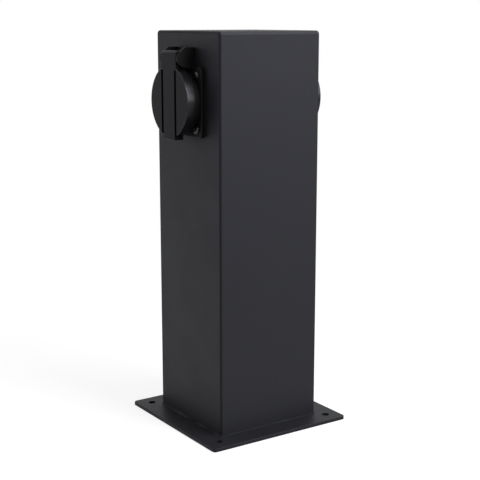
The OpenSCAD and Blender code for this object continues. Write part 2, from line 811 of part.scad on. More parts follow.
// Wires from the sockets down to the terminal block, each with two equal bends
function double_bend(from, to, top) =
    let (r = abs(to - from), way = sign(to - from), a = bend_half_angle)
    concat(
        [for (i = [0 : arc_steps]) let (t = a * i / arc_steps)
            [from + way * r * (1 - cos(t)), top - r * sin(t)]],
        [for (i = [1 : arc_steps]) let (t = a - a * i / arc_steps)
            [to - way * r * (1 - cos(t)), top - r * (2 * sin(a) - sin(t))]]
    );
module socket_wire(x, y) {
    lead = (wire_exit - block_top) / 2 - abs(port_y - y) * sin(bend_half_angle);
    bend = [for (p = double_bend(y, port_y, wire_exit - lead)) [x, p[0], p[1]]];
    skin_end = block_top - block_roof / 2;
    path = concat(
        [[x, y, skin_top + bare_length], [x, y, skin_top], [x, y, skin_top]],
        bend,
        [[x, port_y, skin_end], [x, port_y, skin_end], [x, port_y, insert_top - bare_length]]
    );
    radii = concat(
        [conductor_r, conductor_r, wire_r], [for (p = bend) wire_r], [wire_r, conductor_r, conductor_r]
    );
    tube(path, radii, [1, 0, 0], wire_sides);
}
module front_wire(way) { socket_wire(way_x[way] - wire_split, -terminal_y); }
module rear_wire(way) { socket_wire(way_x[way] + wire_split, terminal_y); }
module front_live_wire() { color("#6b3f22") front_wire(0); }
module rear_live_wire() { color("#6b3f22") rear_wire(0); }
module front_earth_wire() { color("#7fa832") front_wire(1); }
module rear_earth_wire() { color("#7fa832") rear_wire(1); }
module front_neutral_wire() { color("#2f5fa8") front_wire(2); }
module rear_neutral_wire() { color("#2f5fa8") rear_wire(2); }

// Bracket across the column, and the terminal block on it
module at_fixings() {
    for (side = [-1, 1])
        translate([side * lug_x, 0, fixing_z]) rotate([90, 0, 0]) children();
}
module terminal_bracket() {
    outer_r = bracket_bend_r + bracket_sheet;
    color("#9a9da1") difference() {
        translate([0, 0, block_bottom]) linear_extrude(block_height) difference() {
            translate([0, bracket_tab]) rotate(180) arched(2 * inner_half, bracket_tab, outer_r);
            translate([0, bracket_tab + over]) rotate(180)
                arched(2 * (inner_half - bracket_sheet), bracket_tab + over - bracket_sheet,
                    bracket_bend_r);
        }
        at_fixings()
            cylinder(r = small_screw_r + thread_gap, h = 2 * (bracket_sheet + over), center = true);
    }
}
module at_ways() {
    for (x = way_x)
        translate([x, port_y, 0]) children();
}
module at_clamps() {
    for (x = way_x, z = clamp_z)
        translate([x, insert_front, z]) rotate([90, 0, 0]) children();
}
module block_cuts() {
    room = insert_half + insert_clearance;
    depth = insert_depth / 2 + insert_clearance;
    at_ways() {
        box([-room, -depth, block_bottom - over], [room, depth, insert_top + insert_clearance]);
        for (side = [-1, 1])
            translate([side * wire_split, 0, insert_top])
                cylinder(r = wire_r + wire_clearance, h = block_roof + over);
    }
    at_clamps() cylinder(r = small_head_r + screw_clearance, h = block_depth);
    at_fixings() cylinder(r = small_screw_r + screw_clearance, h = lug_thickness + over);
}
module terminal_block() {
    color("#d8d8d2") difference() {
        union() {
            box([-block_half, -block_depth, block_bottom], [block_half, 0, block_top]);
            box([-block_half - lug_width, -lug_thickness, fixing_z - lug_width / 2],
                [block_half + lug_width, 0, fixing_z + lug_width / 2]);
        }
        block_cuts();
    }
}
module block_inserts() {
    color("#b08a3e") difference() {
        at_ways()
            box([-insert_half, -insert_depth / 2, insert_bottom],
                [insert_half, insert_depth / 2, insert_top]);
        at_ways() for (side = [-1, 1])
            translate([side * wire_split, 0, insert_bottom - over])
                cylinder(r = conductor_r + conductor_clearance, h = insert_height + 2 * over);
        translate([0, insert_depth / 2, 0]) at_clamps()
            cylinder(r = small_screw_r + thread_gap, h = insert_depth);
    }
}
module block_clamp_screws() {
    color("#b9bcc0") at_clamps() slotted_screw(insert_depth / 2 - conductor_r - thread_gap);
}
module block_fixing_screws() {
    color("#b9bcc0") translate([0, -lug_thickness, 0]) at_fixings()
        slotted_screw(lug_thickness + bracket_sheet);
}

// Earth stud on the column's wall, and the wire that bonds it to the terminal block
module at_stud() {
    translate([inner_half, stud_y, stud_z]) rotate([0, -90, 0]) children();
}
module earth_stud() {
    color("#b9bcc0") at_stud() cylinder(r = stud_r, h = stud_length);
}
module earth_nut() {
    color("#b9bcc0") at_stud() translate([0, 0, ring_thickness]) difference() {
        cylinder(r = nut_width / 2 / cos(full_turn / 2 / nut_sides), h = nut_height, $fn = nut_sides);
        translate([0, 0, -over]) cylinder(r = stud_r + thread_gap, h = nut_height + 2 * over);
    }
}
module earth_lug() {
    color("#c3c6ca") difference() {
        union() {
            at_stud() cylinder(r = ring_r, h = ring_thickness);
            box([inner_half - ring_thickness, stud_y - barrel_r / 2, barrel_top - barrel_length / 2],
                [inner_half, stud_y + barrel_r / 2, stud_z - stud_r - barrel_wall]);
            translate([barrel_x, stud_y, barrel_bottom]) cylinder(r = barrel_r, h = barrel_length);
        }
        at_stud() translate([0, 0, -over])
            cylinder(r = stud_r + conductor_clearance, h = ring_thickness + 2 * over);
        translate([barrel_x, stud_y, barrel_bottom - over])
            cylinder(r = barrel_r - barrel_wall, h = barrel_length + 2 * over);
    }
}
module earth_bond_wire() {
    start = [wire_split, port_y, insert_bottom - wire_clearance];
    turn_x = wire_split + bond_radius;
    bend = [for (t = [0 : quarter_turn / arc_steps : 2 * quarter_turn])
        [turn_x - bond_radius * cos(t), port_y, bond_bend_z - bond_radius * sin(t)]];
    path = concat(
        [start + [0, 0, bare_length], start, start],
        bend,
        [[barrel_x, port_y, barrel_top - conductor_r]]
    );
    radii = concat([conductor_r, conductor_r, wire_r], [for (p = bend) wire_r], [wire_r]);
    color("#7fa832") tube(path, radii, [0, 1, 0], wire_sides);
}

echo("Least gap between the spring's turns", least_gap(spring_path, arc_steps - 2, spring_wire));

base_plate();
column_wrap();
front_panel();
rear_panel();
foot_weld();
front_flange_gasket();
rear_flange_gasket();
front_housing();
rear_housing();
front_flange_screws();
rear_flange_screws();
front_lid();
rear_lid();
front_lid_seal();
rear_lid_seal();
front_hinge_pin();
rear_hinge_pin();
front_lid_spring();
rear_lid_spring();
front_terminal_cover();
rear_terminal_cover();
front_cover_screws();
rear_cover_screws();
front_live_contact();
rear_live_contact();
front_neutral_contact();
rear_neutral_contact();
front_earth_clip();
rear_earth_clip();
front_terminal_screws();
rear_terminal_screws();
front_live_wire();
rear_live_wire();
front_neutral_wire();
rear_neutral_wire();
front_earth_wire();
rear_earth_wire();
terminal_bracket();
terminal_block();
block_inserts();
block_clamp_screws();
block_fixing_screws();
earth_stud();
earth_nut();
earth_lug();
earth_bond_wire();
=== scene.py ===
import json
import math

import bmesh
import bpy
from mathutils import Matrix, Vector


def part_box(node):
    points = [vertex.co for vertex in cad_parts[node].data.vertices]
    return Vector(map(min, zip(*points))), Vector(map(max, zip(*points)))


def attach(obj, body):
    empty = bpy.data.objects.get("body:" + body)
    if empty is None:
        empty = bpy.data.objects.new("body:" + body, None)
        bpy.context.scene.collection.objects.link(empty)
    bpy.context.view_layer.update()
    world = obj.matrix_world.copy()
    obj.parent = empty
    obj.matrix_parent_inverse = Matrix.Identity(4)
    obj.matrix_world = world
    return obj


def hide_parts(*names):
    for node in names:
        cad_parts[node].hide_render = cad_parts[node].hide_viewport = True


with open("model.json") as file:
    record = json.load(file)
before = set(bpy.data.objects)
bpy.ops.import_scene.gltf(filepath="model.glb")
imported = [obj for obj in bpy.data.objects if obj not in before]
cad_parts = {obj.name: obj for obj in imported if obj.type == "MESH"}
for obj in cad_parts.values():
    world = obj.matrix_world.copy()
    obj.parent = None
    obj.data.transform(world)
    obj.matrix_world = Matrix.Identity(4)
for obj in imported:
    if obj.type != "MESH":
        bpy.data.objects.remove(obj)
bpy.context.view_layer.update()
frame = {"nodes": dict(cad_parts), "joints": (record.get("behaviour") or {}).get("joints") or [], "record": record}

scene = bpy.context.scene
mounts = {row["name"]: row for row in frame["record"]["mounts"]}
joints = {row["name"]: row for row in frame["joints"]}
X, Y, Z = range(3)


# Sizes in millimetres, from the frame where it gives them

def in_mm(metres):
    return round(1000 * metres, 3)


def lowest(node, axis):
    return in_mm(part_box(node)[0][axis])


def highest(node, axis):
    return in_mm(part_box(node)[1][axis])


# Steel post
HALF, POST_TOP = highest("column_wrap", X), highest("column_wrap", Z)
PANEL_HALF = highest("front_panel", X)
SHEET = HALF - PANEL_HALF
BEND_R, BEND_STEPS = 2.8, 10
EDGE_R, EDGE_STEPS = 1.4, 5
PANEL_EASE, SEAM = 0.3, 0.3
PLATE_HALF, PLATE_THICK = highest("base_plate", X), highest("base_plate", Z)
PLATE_CORNER_R, PLATE_ROUND, HOLE_EASE = 3.0, 0.4, 0.15
BOLT_PLACE = mounts["base_bolts"]["dims"]["spacing_x_mm"] / 2
BOLT_HOLE_R = mounts["base_bolts"]["dims"]["hole_r_mm"]
INLET_R = mounts["cable_inlet"]["dims"]["r_mm"]
WELD_LEG, WELD_GAP = highest("foot_weld", Z) - PLATE_THICK, 0.02

# The sockets' middle, from which their radii and heights are measured
SOCKET_Z = in_mm(mounts["front_plug"]["pos_m"][Z])


def out_from_face(y):
    """How far out from the column's face a point of the front socket is."""
    return round(-y - HALF, 3)


def up_from_middle(z):
    return round(z - SOCKET_Z, 3)


# Housings
FLANGE_THICK, FLANGE_CORNER_R, FLANGE_ROUND, FLANGE_HOLE_R = 3.0, 3.5, 0.6, 21.0
FLANGE_HALF = highest("front_housing", X)
FLANGE_BACK = out_from_face(lowest("front_flange_gasket", Y))
FLANGE_FRONT = FLANGE_BACK + FLANGE_THICK
WELL_R, WELL_WALL, CUP_WALL, CUTOUT_GAP = 19.75, 1.4, 1.9, 0.4
CUP_R = WELL_R + CUP_WALL
PANEL_HOLE_R = CUP_R + CUTOUT_GAP
FLOOR_THICK, PIN_HOLE_X, PIN_HOLE_R = 3.0, 9.5, 2.9
FLOOR_BACK = out_from_face(highest("front_housing", Y))
WELL_FLOOR = FLOOR_BACK + FLOOR_THICK
COLLAR_WALL, COLLAR_LIFT, COLLAR_GROOVE = 1.5, 1.0, 5.0
COLLAR_FRONT = out_from_face(in_mm(mounts["front_plug"]["pos_m"][Y]))
COLLAR_FOOT = FLANGE_BACK + COLLAR_LIFT
GROOVE_FLOOR = COLLAR_FRONT - COLLAR_GROOVE
CLIP_THICK, CLIP_GAP = 0.8, 0.15
SLOT_R = WELL_R + CLIP_THICK + CLIP_GAP
SLOT_HALF = highest("front_earth_clip", X) + CLIP_GAP
SLOT_FRONT = out_from_face(lowest("front_earth_clip", Y)) + CLIP_GAP
RIB_HALF, RIB_HEIGHT, RIB_SETBACK, RIB_ROUND = 2.4, 1.6, 4.0, 0.4
HEAD_R, HEAD_HEIGHT, SCREW_R, SCREW_LENGTH = 3.0, 1.9, 1.45, 9.0
SCREW_PLACE = highest("front_flange_screws", X) - HEAD_R

# Lids and hinges
LID_WALL, LID_GAP, RIM_DEPTH = 1.3, 0.6, 3.8
LID_R = highest("front_lid", X)
LID_INNER_R = LID_R - LID_WALL
COLLAR_R = LID_INNER_R - LID_GAP
LID_FRONT = out_from_face(lowest("front_lid", Y))
LID_BACK = out_from_face(lowest("front_lid_seal", Y))
RIM_BACK = LID_BACK - RIM_DEPTH
SEAL_R, SEAL_INNER_R = highest("front_lid_seal", X), 19.95
SEAL_LIP = out_from_face(highest("front_lid_seal", Y))
GROOVE_DEPTH, GROOVE_WIDTH, GROOVE_INSET = 1.5, 2.5, 1.0
BAR_HALF, BAR_SINK, TAB_LIP = 7.8, 0.6, 0.5
BAR_ROUND, BAR_EASE = 0.4, 0.3
ARM_HALF = BAR_HALF + GROOVE_WIDTH
GROOVE_TOP = math.sqrt((LID_R - GROOVE_INSET) ** 2 - ARM_HALF ** 2)
BAR_BACK = LID_FRONT - GROOVE_DEPTH - BAR_SINK
TAB_BOTTOM = up_from_middle(lowest("front_lid", Z))
TAB_BACK = RIM_BACK - TAB_LIP
PIVOT_OUT = out_from_face(in_mm(joints["front_lid_hinge"]["pos_m"][Y]))
PIVOT_UP = up_from_middle(in_mm(joints["front_lid_hinge"]["pos_m"][Z]))
ARM_DEPTH, ARM_BEVEL = 5.6, 1.6
ARM_TOP = up_from_middle(highest("front_lid", Z))
ARM_BACK = LID_FRONT - ARM_DEPTH
KNUCKLE_R = ARM_TOP - PIVOT_UP
CHEEK_GAP, CHEEK_THICK, CHEEK_ROOT, CHEEK_RISE = 0.2, 1.7, 2.0, 2.7
CHEEK_IN = ARM_HALF + CHEEK_GAP
CHEEK_OUT = CHEEK_IN + CHEEK_THICK
CHEEK_R = LID_FRONT - PIVOT_OUT
CHEEK_TOP = up_from_middle(highest("front_housing", Z))
CHEEK_FOOT = FLANGE_HALF - CHEEK_ROOT
CHEEK_BROW = PIVOT_UP + CHEEK_RISE
WEB_THICK, WEB_DROP, WEB_INSET = 1.5, 1.8, 0.1
WEB_TOP = CHEEK_TOP - WEB_DROP
WEB_FRONT = FLANGE_BACK + WEB_THICK
WEB_HALF = CHEEK_OUT - WEB_INSET
PIN_R = (highest("front_hinge_pin", Y) - lowest("front_hinge_pin", Y)) / 2
PIN_END = highest("front_hinge_pin", X)
SPRING_R, SPRING_WIRE_R, SPRING_GAP = 2.4, 0.4, 0.25
SPRING_TURNS, SPRING_PITCH, SPRING_STEPS = 5.25, 1.25, 168
SPRING_HALF = SPRING_TURNS * SPRING_PITCH / 2
SPRING_ROOM = SPRING_R + SPRING_WIRE_R + SPRING_GAP
SPRING_SLOT_HALF = SPRING_HALF + SPRING_WIRE_R + SPRING_GAP
SPRING_BACK = out_from_face(highest("front_lid_spring", Y))
SPRING_FOOT = up_from_middle(lowest("front_lid_spring", Z))

# Wiring
WIRE_R, WIRE_GAP, WIRE_BEND, CONDUCTOR_R = 1.5, 0.25, 60, 0.8
BARE_LENGTH, BARE_IN_SKIN, SKIN_IN_BLOCK, SKIN_IN_LUG = 6.0, 0.5, 2.0, 6.2
SKIN_TOP = highest("front_live_wire", Z) - BARE_LENGTH
WIRE_EXIT = SOCKET_Z - highest("front_terminal_cover", X) - WIRE_GAP
BLOCK_TOP = highest("terminal_block", Z)
SKIN_END = BLOCK_TOP - SKIN_IN_BLOCK
INSERT_BOTTOM = lowest("block_inserts", Z)
PORT_Y = (lowest("block_inserts", Y) + highest("block_inserts", Y)) / 2

# Steps round a full turn, the least distance that counts, and how far the solids of a moulding overlap
ROUND_STEPS = 96
NEAR = 0.01
OVERLAP = 0.02
# Points closer than this become one
MERGE_DISTANCE = 0.0005

MILLIMETRES = Matrix.Scale(0.001, 4)
FRONT = Matrix.Translation((0, -HALF, SOCKET_Z)) @ Matrix.Rotation(math.radians(90), 4, "X")
REAR = Matrix.Rotation(math.radians(180), 4, "Z") @ FRONT
SOCKETS = (("front", FRONT), ("rear", REAR))
STANDING = Matrix.Identity(4)
# Turns a shape drawn as distance out and height, with its width along Z, to stand across a socket
ACROSS = Matrix(((0, 0, 1, 0), (0, 1, 0, 0), (1, 0, 0, 0), (0, 0, 0, 1)))


# Shapes

def corner_face(points, rounds=(), segments=6):
    """One flat face from a few corners; rounds gives a radius and the corners that get it."""
    shape = bmesh.new()
    corners = [shape.verts.new((a, b, 0)) for a, b in points]
    shape.faces.new(corners)
    for radius, which in rounds:
        bmesh.ops.bevel(shape, geom=[corners[i] for i in which], offset=radius, offset_type="OFFSET",
                        segments=segments, profile=0.5, affect="VERTICES", material=-1,
                        clamp_overlap=True)
    return shape


def square_face(half, radius):
    return corner_face([(-half, -half), (half, -half), (half, half), (-half, half)],
                       [(radius, (0, 1, 2, 3))])


def outline_only(shape):
    bmesh.ops.delete(shape, geom=shape.faces[:], context="FACES_ONLY")
    return shape


def fill_flat(shape):
    """Fills the space between the flat outlines of a shape."""
    bmesh.ops.triangle_fill(shape, use_beauty=True, use_dissolve=False, edges=shape.edges[:],
                            normal=(0, 0, 1))
    return shape


def cut_holes(shape, holes, segments=48):
    """Fills a flat outline again, round holes given as x, y and radius."""
    outline_only(shape)
    for x, y, radius in holes:
        bmesh.ops.create_circle(shape, cap_ends=False, radius=radius, segments=segments,
                                matrix=Matrix.Translation((x, y, 0)))
    return fill_flat(shape)


def only(kind, geometry):
    return [g for g in geometry if isinstance(g, kind)]


def thicken(shape, depth):
    """Raises a flat shape along +Z into a closed solid."""
    raised = bmesh.ops.extrude_face_region(shape, geom=shape.faces[:])["geom"]
    bmesh.ops.translate(shape, verts=only(bmesh.types.BMVert, raised), vec=(0, 0, depth))
    bmesh.ops.recalc_face_normals(shape, faces=shape.faces[:])
    return shape


def cut(shape, place, way, clear=False):
    """Cuts a shape along a plane, and clears what lies behind it if asked to."""
    bmesh.ops.bisect_plane(shape, geom=shape.verts[:] + shape.edges[:] + shape.faces[:], dist=0.0001,
                           plane_co=place, plane_no=way, clear_inner=clear)


def outline_at(height, hole_r):
    """Picks the edges of a flat outline at a height, and none round its hole."""
    return lambda edge: all(v.co.z > height - NEAR and v.co.to_2d().length > hole_r + 1 for v in edge.verts)


def soften(shape, width, segments=2, where=None, clamp=True):
    """Rounds the sharp edges of a solid, or those of them that where picks."""
    sharp = math.radians(35)
    edges = [e for e in shape.edges if e.is_manifold and e.calc_face_angle(0) > sharp
             and (where is None or where(e))]
    bmesh.ops.bevel(shape, geom=edges, offset=width, offset_type="OFFSET", segments=segments,
                    profile=0.5, affect="EDGES", material=-1, clamp_overlap=clamp)
    return shape


def moved(shape, x=0.0, z=0.0):
    bmesh.ops.translate(shape, verts=shape.verts[:], vec=(x, 0, z))
    return shape


def turned(shape, matrix):
    bmesh.ops.transform(shape, matrix=matrix, verts=shape.verts[:])
    bmesh.ops.recalc_face_normals(shape, faces=shape.faces[:])
    return shape


def across(shape, left):
    """Stands a solid drawn as distance out and height across a socket, with its first side at left."""
    return moved(turned(shape, ACROSS), x=left)


def swept(shape, start, degrees, steps, full=False):
    """Sweeps a flat outline of radius and height about the Z axis."""
    outline_only(shape)
    stand = Matrix.Rotation(math.radians(start), 4, "Z") @ Matrix.Rotation(math.radians(90), 4, "X")
    bmesh.ops.transform(shape, matrix=stand, verts=shape.verts[:])
    bmesh.ops.spin(shape, geom=shape.verts[:] + shape.edges[:], cent=(0, 0, 0), axis=(0, 0, 1),
                   angle=math.radians(degrees), steps=steps, use_merge=full)
    return shape


def lathe(points, rounds=(), steps=ROUND_STEPS):
    """Spins a closed outline of radius and height all the way round."""
    shape = swept(corner_face(points, rounds, segments=3), 0, 360, steps, full=True)
    bmesh.ops.remove_doubles(shape, verts=shape.verts[:], dist=MERGE_DISTANCE)
    bmesh.ops.dissolve_degenerate(shape, dist=0.8 * MERGE_DISTANCE, edges=shape.edges[:])
    bmesh.ops.recalc_face_normals(shape, faces=shape.faces[:])
    return shape


def block(low, high, softness, segments=2):
    """A box between two corners, with soft edges."""
    shape = bmesh.new()
    size = [b - a for a, b in zip(low, high)]
    middle = [(a + b) / 2 for a, b in zip(low, high)]
    bmesh.ops.create_cube(shape, size=1.0, matrix=Matrix.Translation(middle) @ Matrix.Diagonal((*size, 1)))
    return soften(shape, softness, segments)


def take_in(whole, shape):
    """Adds a shape to another one."""
    part = bpy.data.meshes.new("part")
    shape.to_mesh(part)
    shape.free()
    whole.from_mesh(part)
    bpy.data.meshes.remove(part)


def joined(*shapes):
    """Several solids of one moulding, as one shape."""
    whole = bmesh.new()
    for shape in shapes:
        take_in(whole, shape)
    return whole


def tube_start(radius, place, sides=16):
    """A ring that lies flat at a place, from which a wire is drawn."""
    shape = bmesh.new()
    bmesh.ops.create_circle(shape, cap_ends=False, radius=radius, segments=sides,
                            matrix=Matrix.Translation(place))
    return shape, shape.edges[:]


def ring_verts(ring):
    return list({v for e in ring for v in e.verts})


def draw_on(shape, ring, way):
    """Draws a wire or a wall straight on from its last edges."""
    new = bmesh.ops.extrude_edge_only(shape, edges=ring)["geom"]
    bmesh.ops.translate(shape, verts=only(bmesh.types.BMVert, new), vec=way)
    return only(bmesh.types.BMEdge, new)


def bend_on(shape, ring, centre, axis, degrees, steps, drift=(0, 0, 0)):
    """Bends a wire or a wall round a centre, from its last edges."""
    last = bmesh.ops.spin(shape, geom=ring_verts(ring) + ring, cent=centre, axis=axis,
                          angle=math.radians(degrees), steps=steps, dvec=drift)["geom_last"]
    return only(bmesh.types.BMEdge, last)


def close_ends(shape):
    bmesh.ops.holes_fill(shape, edges=[e for e in shape.edges if e.is_boundary], sides=0)
    bmesh.ops.recalc_face_normals(shape, faces=shape.faces[:])
    return shape


def add_piece(shape, name, place, finishes, body, node, sharp=32):
    """Makes a shape in millimetres a finished piece that rides on a body in place of a node."""
    bmesh.ops.transform(shape, matrix=MILLIMETRES @ place, verts=shape.verts[:])
    mesh = bpy.data.meshes.new(name)
    shape.to_mesh(mesh)
    shape.free()
    for finish in finishes:
        mesh.materials.append(finish)
    mesh.shade_smooth()
    mesh.set_sharp_from_angle(angle=math.radians(sharp))
    piece = bpy.data.objects.new(name, mesh)
    scene.collection.objects.link(piece)
    flat_faces = piece.modifiers.new("flat_faces", "WEIGHTED_NORMAL")
    flat_faces.mode = "FACE_AREA"
    flat_faces.keep_sharp = True
    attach(piece, body)
    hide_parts(node)


def add_to_sockets(shape, name, node, finishes, on_lid=False):
    """Puts a shape drawn for one socket on both of them."""
    for side, place in SOCKETS:
        body = side + "_lid_body" if on_lid else "post"
        add_piece(shape.copy(), side + "_" + name, place, finishes, body, side + "_" + node)
    shape.free()


# Finishes

DUST, DUST_CELLS, DUST_MIX = (0.17, 0.17, 0.165, 1), 170.0, 0.6
SPECK_LIFT, SPECK_FINENESS, SPECK_MIX = 2.4, 2.3, 0.3
PEBBLE_SHARE = 0.8
METAL_SPREAD, BLOOM_CELLS, BLOOM_MIX = 0.08, 420.0, 0.45
SKIN_PEBBLE, SKIN_MOTTLE, SKIN_SPREAD = 1600.0, 90.0, 0.08
SKIN_ROUGH, SKIN_BUMP = (0.36, 0.46), (0.08, 0.00003)
COOL_GLOSS = (0.86, 0.88, 1.0)


def feed(tree, socket, given):
    """Links a socket to another one, or sets its value."""
    if isinstance(given, bpy.types.NodeSocket):
        tree.links.new(given, socket)
    else:
        socket.default_value = given


def new_group(name, inputs, outputs):
    group = bpy.data.node_groups.new(name, "ShaderNodeTree")
    for label, kind, value in inputs:
        socket = group.interface.new_socket(label, in_out="INPUT", socket_type=kind)
        socket.default_value = value
    for label, kind in outputs:
        group.interface.new_socket(label, in_out="OUTPUT", socket_type=kind)
    return group, group.nodes.new("NodeGroupInput").outputs, group.nodes.new("NodeGroupOutput").inputs


def object_place(tree):
    return tree.nodes.new("ShaderNodeTexCoord").outputs["Object"]


def noise(tree, place, scale, detail, roughness=0.5):
    node = tree.nodes.new("ShaderNodeTexNoise")
    for label, given in (("Vector", place), ("Scale", scale), ("Detail", detail), ("Roughness", roughness)):
        feed(tree, node.inputs[label], given)
    return node.outputs["Fac"]


def ranged(tree, value, low, high, from_low=0.0, from_high=1.0):
    node = tree.nodes.new("ShaderNodeMapRange")
    for label, given in (("Value", value), ("From Min", from_low), ("From Max", from_high),
                         ("To Min", low), ("To Max", high)):
        feed(tree, node.inputs[label], given)
    return node.outputs["Result"]


def arithmetic(tree, operation, a, b=0.0):
    node = tree.nodes.new("ShaderNodeMath")
    node.operation = operation
    feed(tree, node.inputs[0], a)
    feed(tree, node.inputs[1], b)
    return node.outputs[0]


def blended(tree, factor, a, b, kind="MIX"):
    node = tree.nodes.new("ShaderNodeMix")
    node.data_type = "RGBA"
    node.blend_type = kind
    for socket, given in ((node.inputs[0], factor), (node.inputs[6], a), (node.inputs[7], b)):
        feed(tree, socket, given)
    return node.outputs[2]


def make_dust(tree, place):
    """A mask of a few small round grains."""
    cells = tree.nodes.new("ShaderNodeTexVoronoi")
    feed(tree, cells.inputs["Vector"], place)
    feed(tree, cells.inputs["Scale"], DUST_CELLS)
    split = tree.nodes.new("ShaderNodeSeparateColor")
    feed(tree, split.inputs[0], cells.outputs["Color"])
    grain = ranged(tree, cells.outputs["Distance"], 1.0, 0.0, from_low=0.03, from_high=0.06)
    kept = ranged(tree, split.outputs[0], 0.0, 1.0, from_low=0.90, from_high=0.91)
    return arithmetic(tree, "MULTIPLY", grain, kept)


def make_grain_group():
    """Fine pebbles, slow mottling and a few grains of dust, for coats and mouldings."""
    group, given, made = new_group(
        "pebbled_surface",
        [("Pebble Scale", "NodeSocketFloat", 2000.0), ("Mottle Scale", "NodeSocketFloat", 40.0)],
        [("Pebbles", "NodeSocketFloat"), ("Mottle", "NodeSocketFloat"), ("Specks", "NodeSocketFloat"),
         ("Dust", "NodeSocketFloat")])
    place = object_place(group)
    speck_scale = arithmetic(group, "MULTIPLY", given["Pebble Scale"], SPECK_FINENESS)
    pebbles = noise(group, place, given["Pebble Scale"], detail=2.0)
    mottle = noise(group, place, given["Mottle Scale"], detail=3.0, roughness=0.55)
    specks = noise(group, place, speck_scale, detail=0.0)
    feed(group, made["Pebbles"], ranged(group, pebbles, 0.0, 1.0, from_low=0.32, from_high=0.68))
    feed(group, made["Mottle"], ranged(group, mottle, 0.0, 1.0, from_low=0.3, from_high=0.7))
    feed(group, made["Specks"], ranged(group, specks, 0.0, 1.0, from_low=0.66, from_high=0.8))
    feed(group, made["Dust"], make_dust(group, place))
    return group


def make_tone_group():
    """Lets a colour run lighter and darker over the surface."""
    group, given, made = new_group(
        "uneven_tone",
        [("Colour", "NodeSocketColor", (0.1, 0.1, 0.1, 1)), ("Mask", "NodeSocketFloat", 0.5),
         ("Spread", "NodeSocketFloat", 0.1)],
        [("Colour", "NodeSocketColor")])
    low = arithmetic(group, "SUBTRACT", 1.0, given["Spread"])
    high = arithmetic(group, "ADD", 1.0, given["Spread"])
    level = ranged(group, given["Mask"], low, high)
    shade = group.nodes.new("ShaderNodeCombineColor")
    for socket in shade.inputs[:3]:
        feed(group, socket, level)
    feed(group, made["Colour"], blended(group, 1.0, given["Colour"], shade.outputs[0], "MULTIPLY"))
    return group


def make_drawn_group():
    """Fine drawn lines along one way, for plated steel and brass."""
    group, given, made = new_group(
        "drawn_lines",
        [("Along", "NodeSocketVector", (3000.0, 3000.0, 120.0))],
        [("Lines", "NodeSocketFloat"), ("Bloom", "NodeSocketFloat")])
    place = object_place(group)
    stretch = group.nodes.new("ShaderNodeVectorMath")
    stretch.operation = "MULTIPLY"
    feed(group, stretch.inputs[0], place)
    feed(group, stretch.inputs[1], given["Along"])
    lines = noise(group, stretch.outputs[0], 1.0, detail=3.0, roughness=0.6)
    bloom = noise(group, place, BLOOM_CELLS, detail=3.0, roughness=0.6)
    feed(group, made["Lines"], ranged(group, lines, 0.0, 1.0, from_low=0.3, from_high=0.7))
    feed(group, made["Bloom"], ranged(group, bloom, 0.0, 1.0, from_low=0.3, from_high=0.7))
    return group


PEBBLED = make_grain_group()
UNEVEN = make_tone_group()
DRAWN = make_drawn_group()


def bare_material(name):
    material = bpy.data.materials.new(name)
    material.use_nodes = True
    material.node_tree.nodes.clear()
    return material, material.node_tree


def start_finish(name):
    material, tree = bare_material(name)
    shader = tree.nodes.new("ShaderNodeBsdfPrincipled")
    tree.links.new(shader.outputs[0], tree.nodes.new("ShaderNodeOutputMaterial").inputs["Surface"])
    return material, tree, shader


def use_group(tree, group, **values):
    node = tree.nodes.new("ShaderNodeGroup")
    node.node_tree = group
    for label, given in values.items():
        feed(tree, node.inputs[label.replace("_", " ")], given)
    return node.outputs


def add_bump(tree, shader, height, strength, distance):
    bump = tree.nodes.new("ShaderNodeBump")
    for label, given in (("Height", height), ("Strength", strength), ("Distance", distance)):
        feed(tree, bump.inputs[label], given)
    tree.links.new(bump.outputs[0], shader.inputs["Normal"])


def coated_finish(name, colour, pebble, mottle, spread, rough, specular, bump, gloss=(1, 1, 1)):
    """A pebbled, mottled coat or moulding with specks and dust; bump is a strength and a distance."""
    material, tree, shader = start_finish(name)
    grain = use_group(tree, PEBBLED, Pebble_Scale=pebble, Mottle_Scale=mottle)
    slow = use_group(tree, UNEVEN, Colour=(*colour, 1), Mask=grain["Mottle"], Spread=spread)
    fine = use_group(tree, UNEVEN, Colour=slow["Colour"], Mask=grain["Pebbles"],
                     Spread=spread * PEBBLE_SHARE)
    pale = (*[min(1.0, SPECK_LIFT * c) for c in colour], 1)
    specked = blended(tree, arithmetic(tree, "MULTIPLY", grain["Specks"], SPECK_MIX), fine["Colour"], pale)
    dusty = blended(tree, arithmetic(tree, "MULTIPLY", grain["Dust"], DUST_MIX), specked, DUST)
    tree.links.new(dusty, shader.inputs["Base Color"])
    tree.links.new(ranged(tree, grain["Mottle"], *rough), shader.inputs["Roughness"])
    shader.inputs["Specular IOR Level"].default_value = specular
    shader.inputs["Specular Tint"].default_value = (*gloss, 1)
    add_bump(tree, shader, grain["Pebbles"], *bump)
    return material


def metal_finish(name, colour, dull, along, rough):
    """Bare or plated metal with drawn lines and a faint bloom."""
    material, tree, shader = start_finish(name)
    drawn = use_group(tree, DRAWN, Along=along)
    tone = use_group(tree, UNEVEN, Colour=(*colour, 1), Mask=drawn["Lines"], Spread=METAL_SPREAD)
    bloom = arithmetic(tree, "MULTIPLY", drawn["Bloom"], BLOOM_MIX)
    faded = blended(tree, bloom, tone["Colour"], (*dull, 1))
    tree.links.new(faded, shader.inputs["Base Color"])
    tree.links.new(ranged(tree, drawn["Bloom"], *rough), shader.inputs["Roughness"])
    shader.inputs["Metallic"].default_value = 1.0
    add_bump(tree, shader, drawn["Lines"], strength=0.12, distance=0.00002)
    return material


def wire_skin(name, colour):
    return coated_finish(name, colour, pebble=SKIN_PEBBLE, mottle=SKIN_MOTTLE, spread=SKIN_SPREAD,
                         rough=SKIN_ROUGH, specular=0.5, bump=SKIN_BUMP)


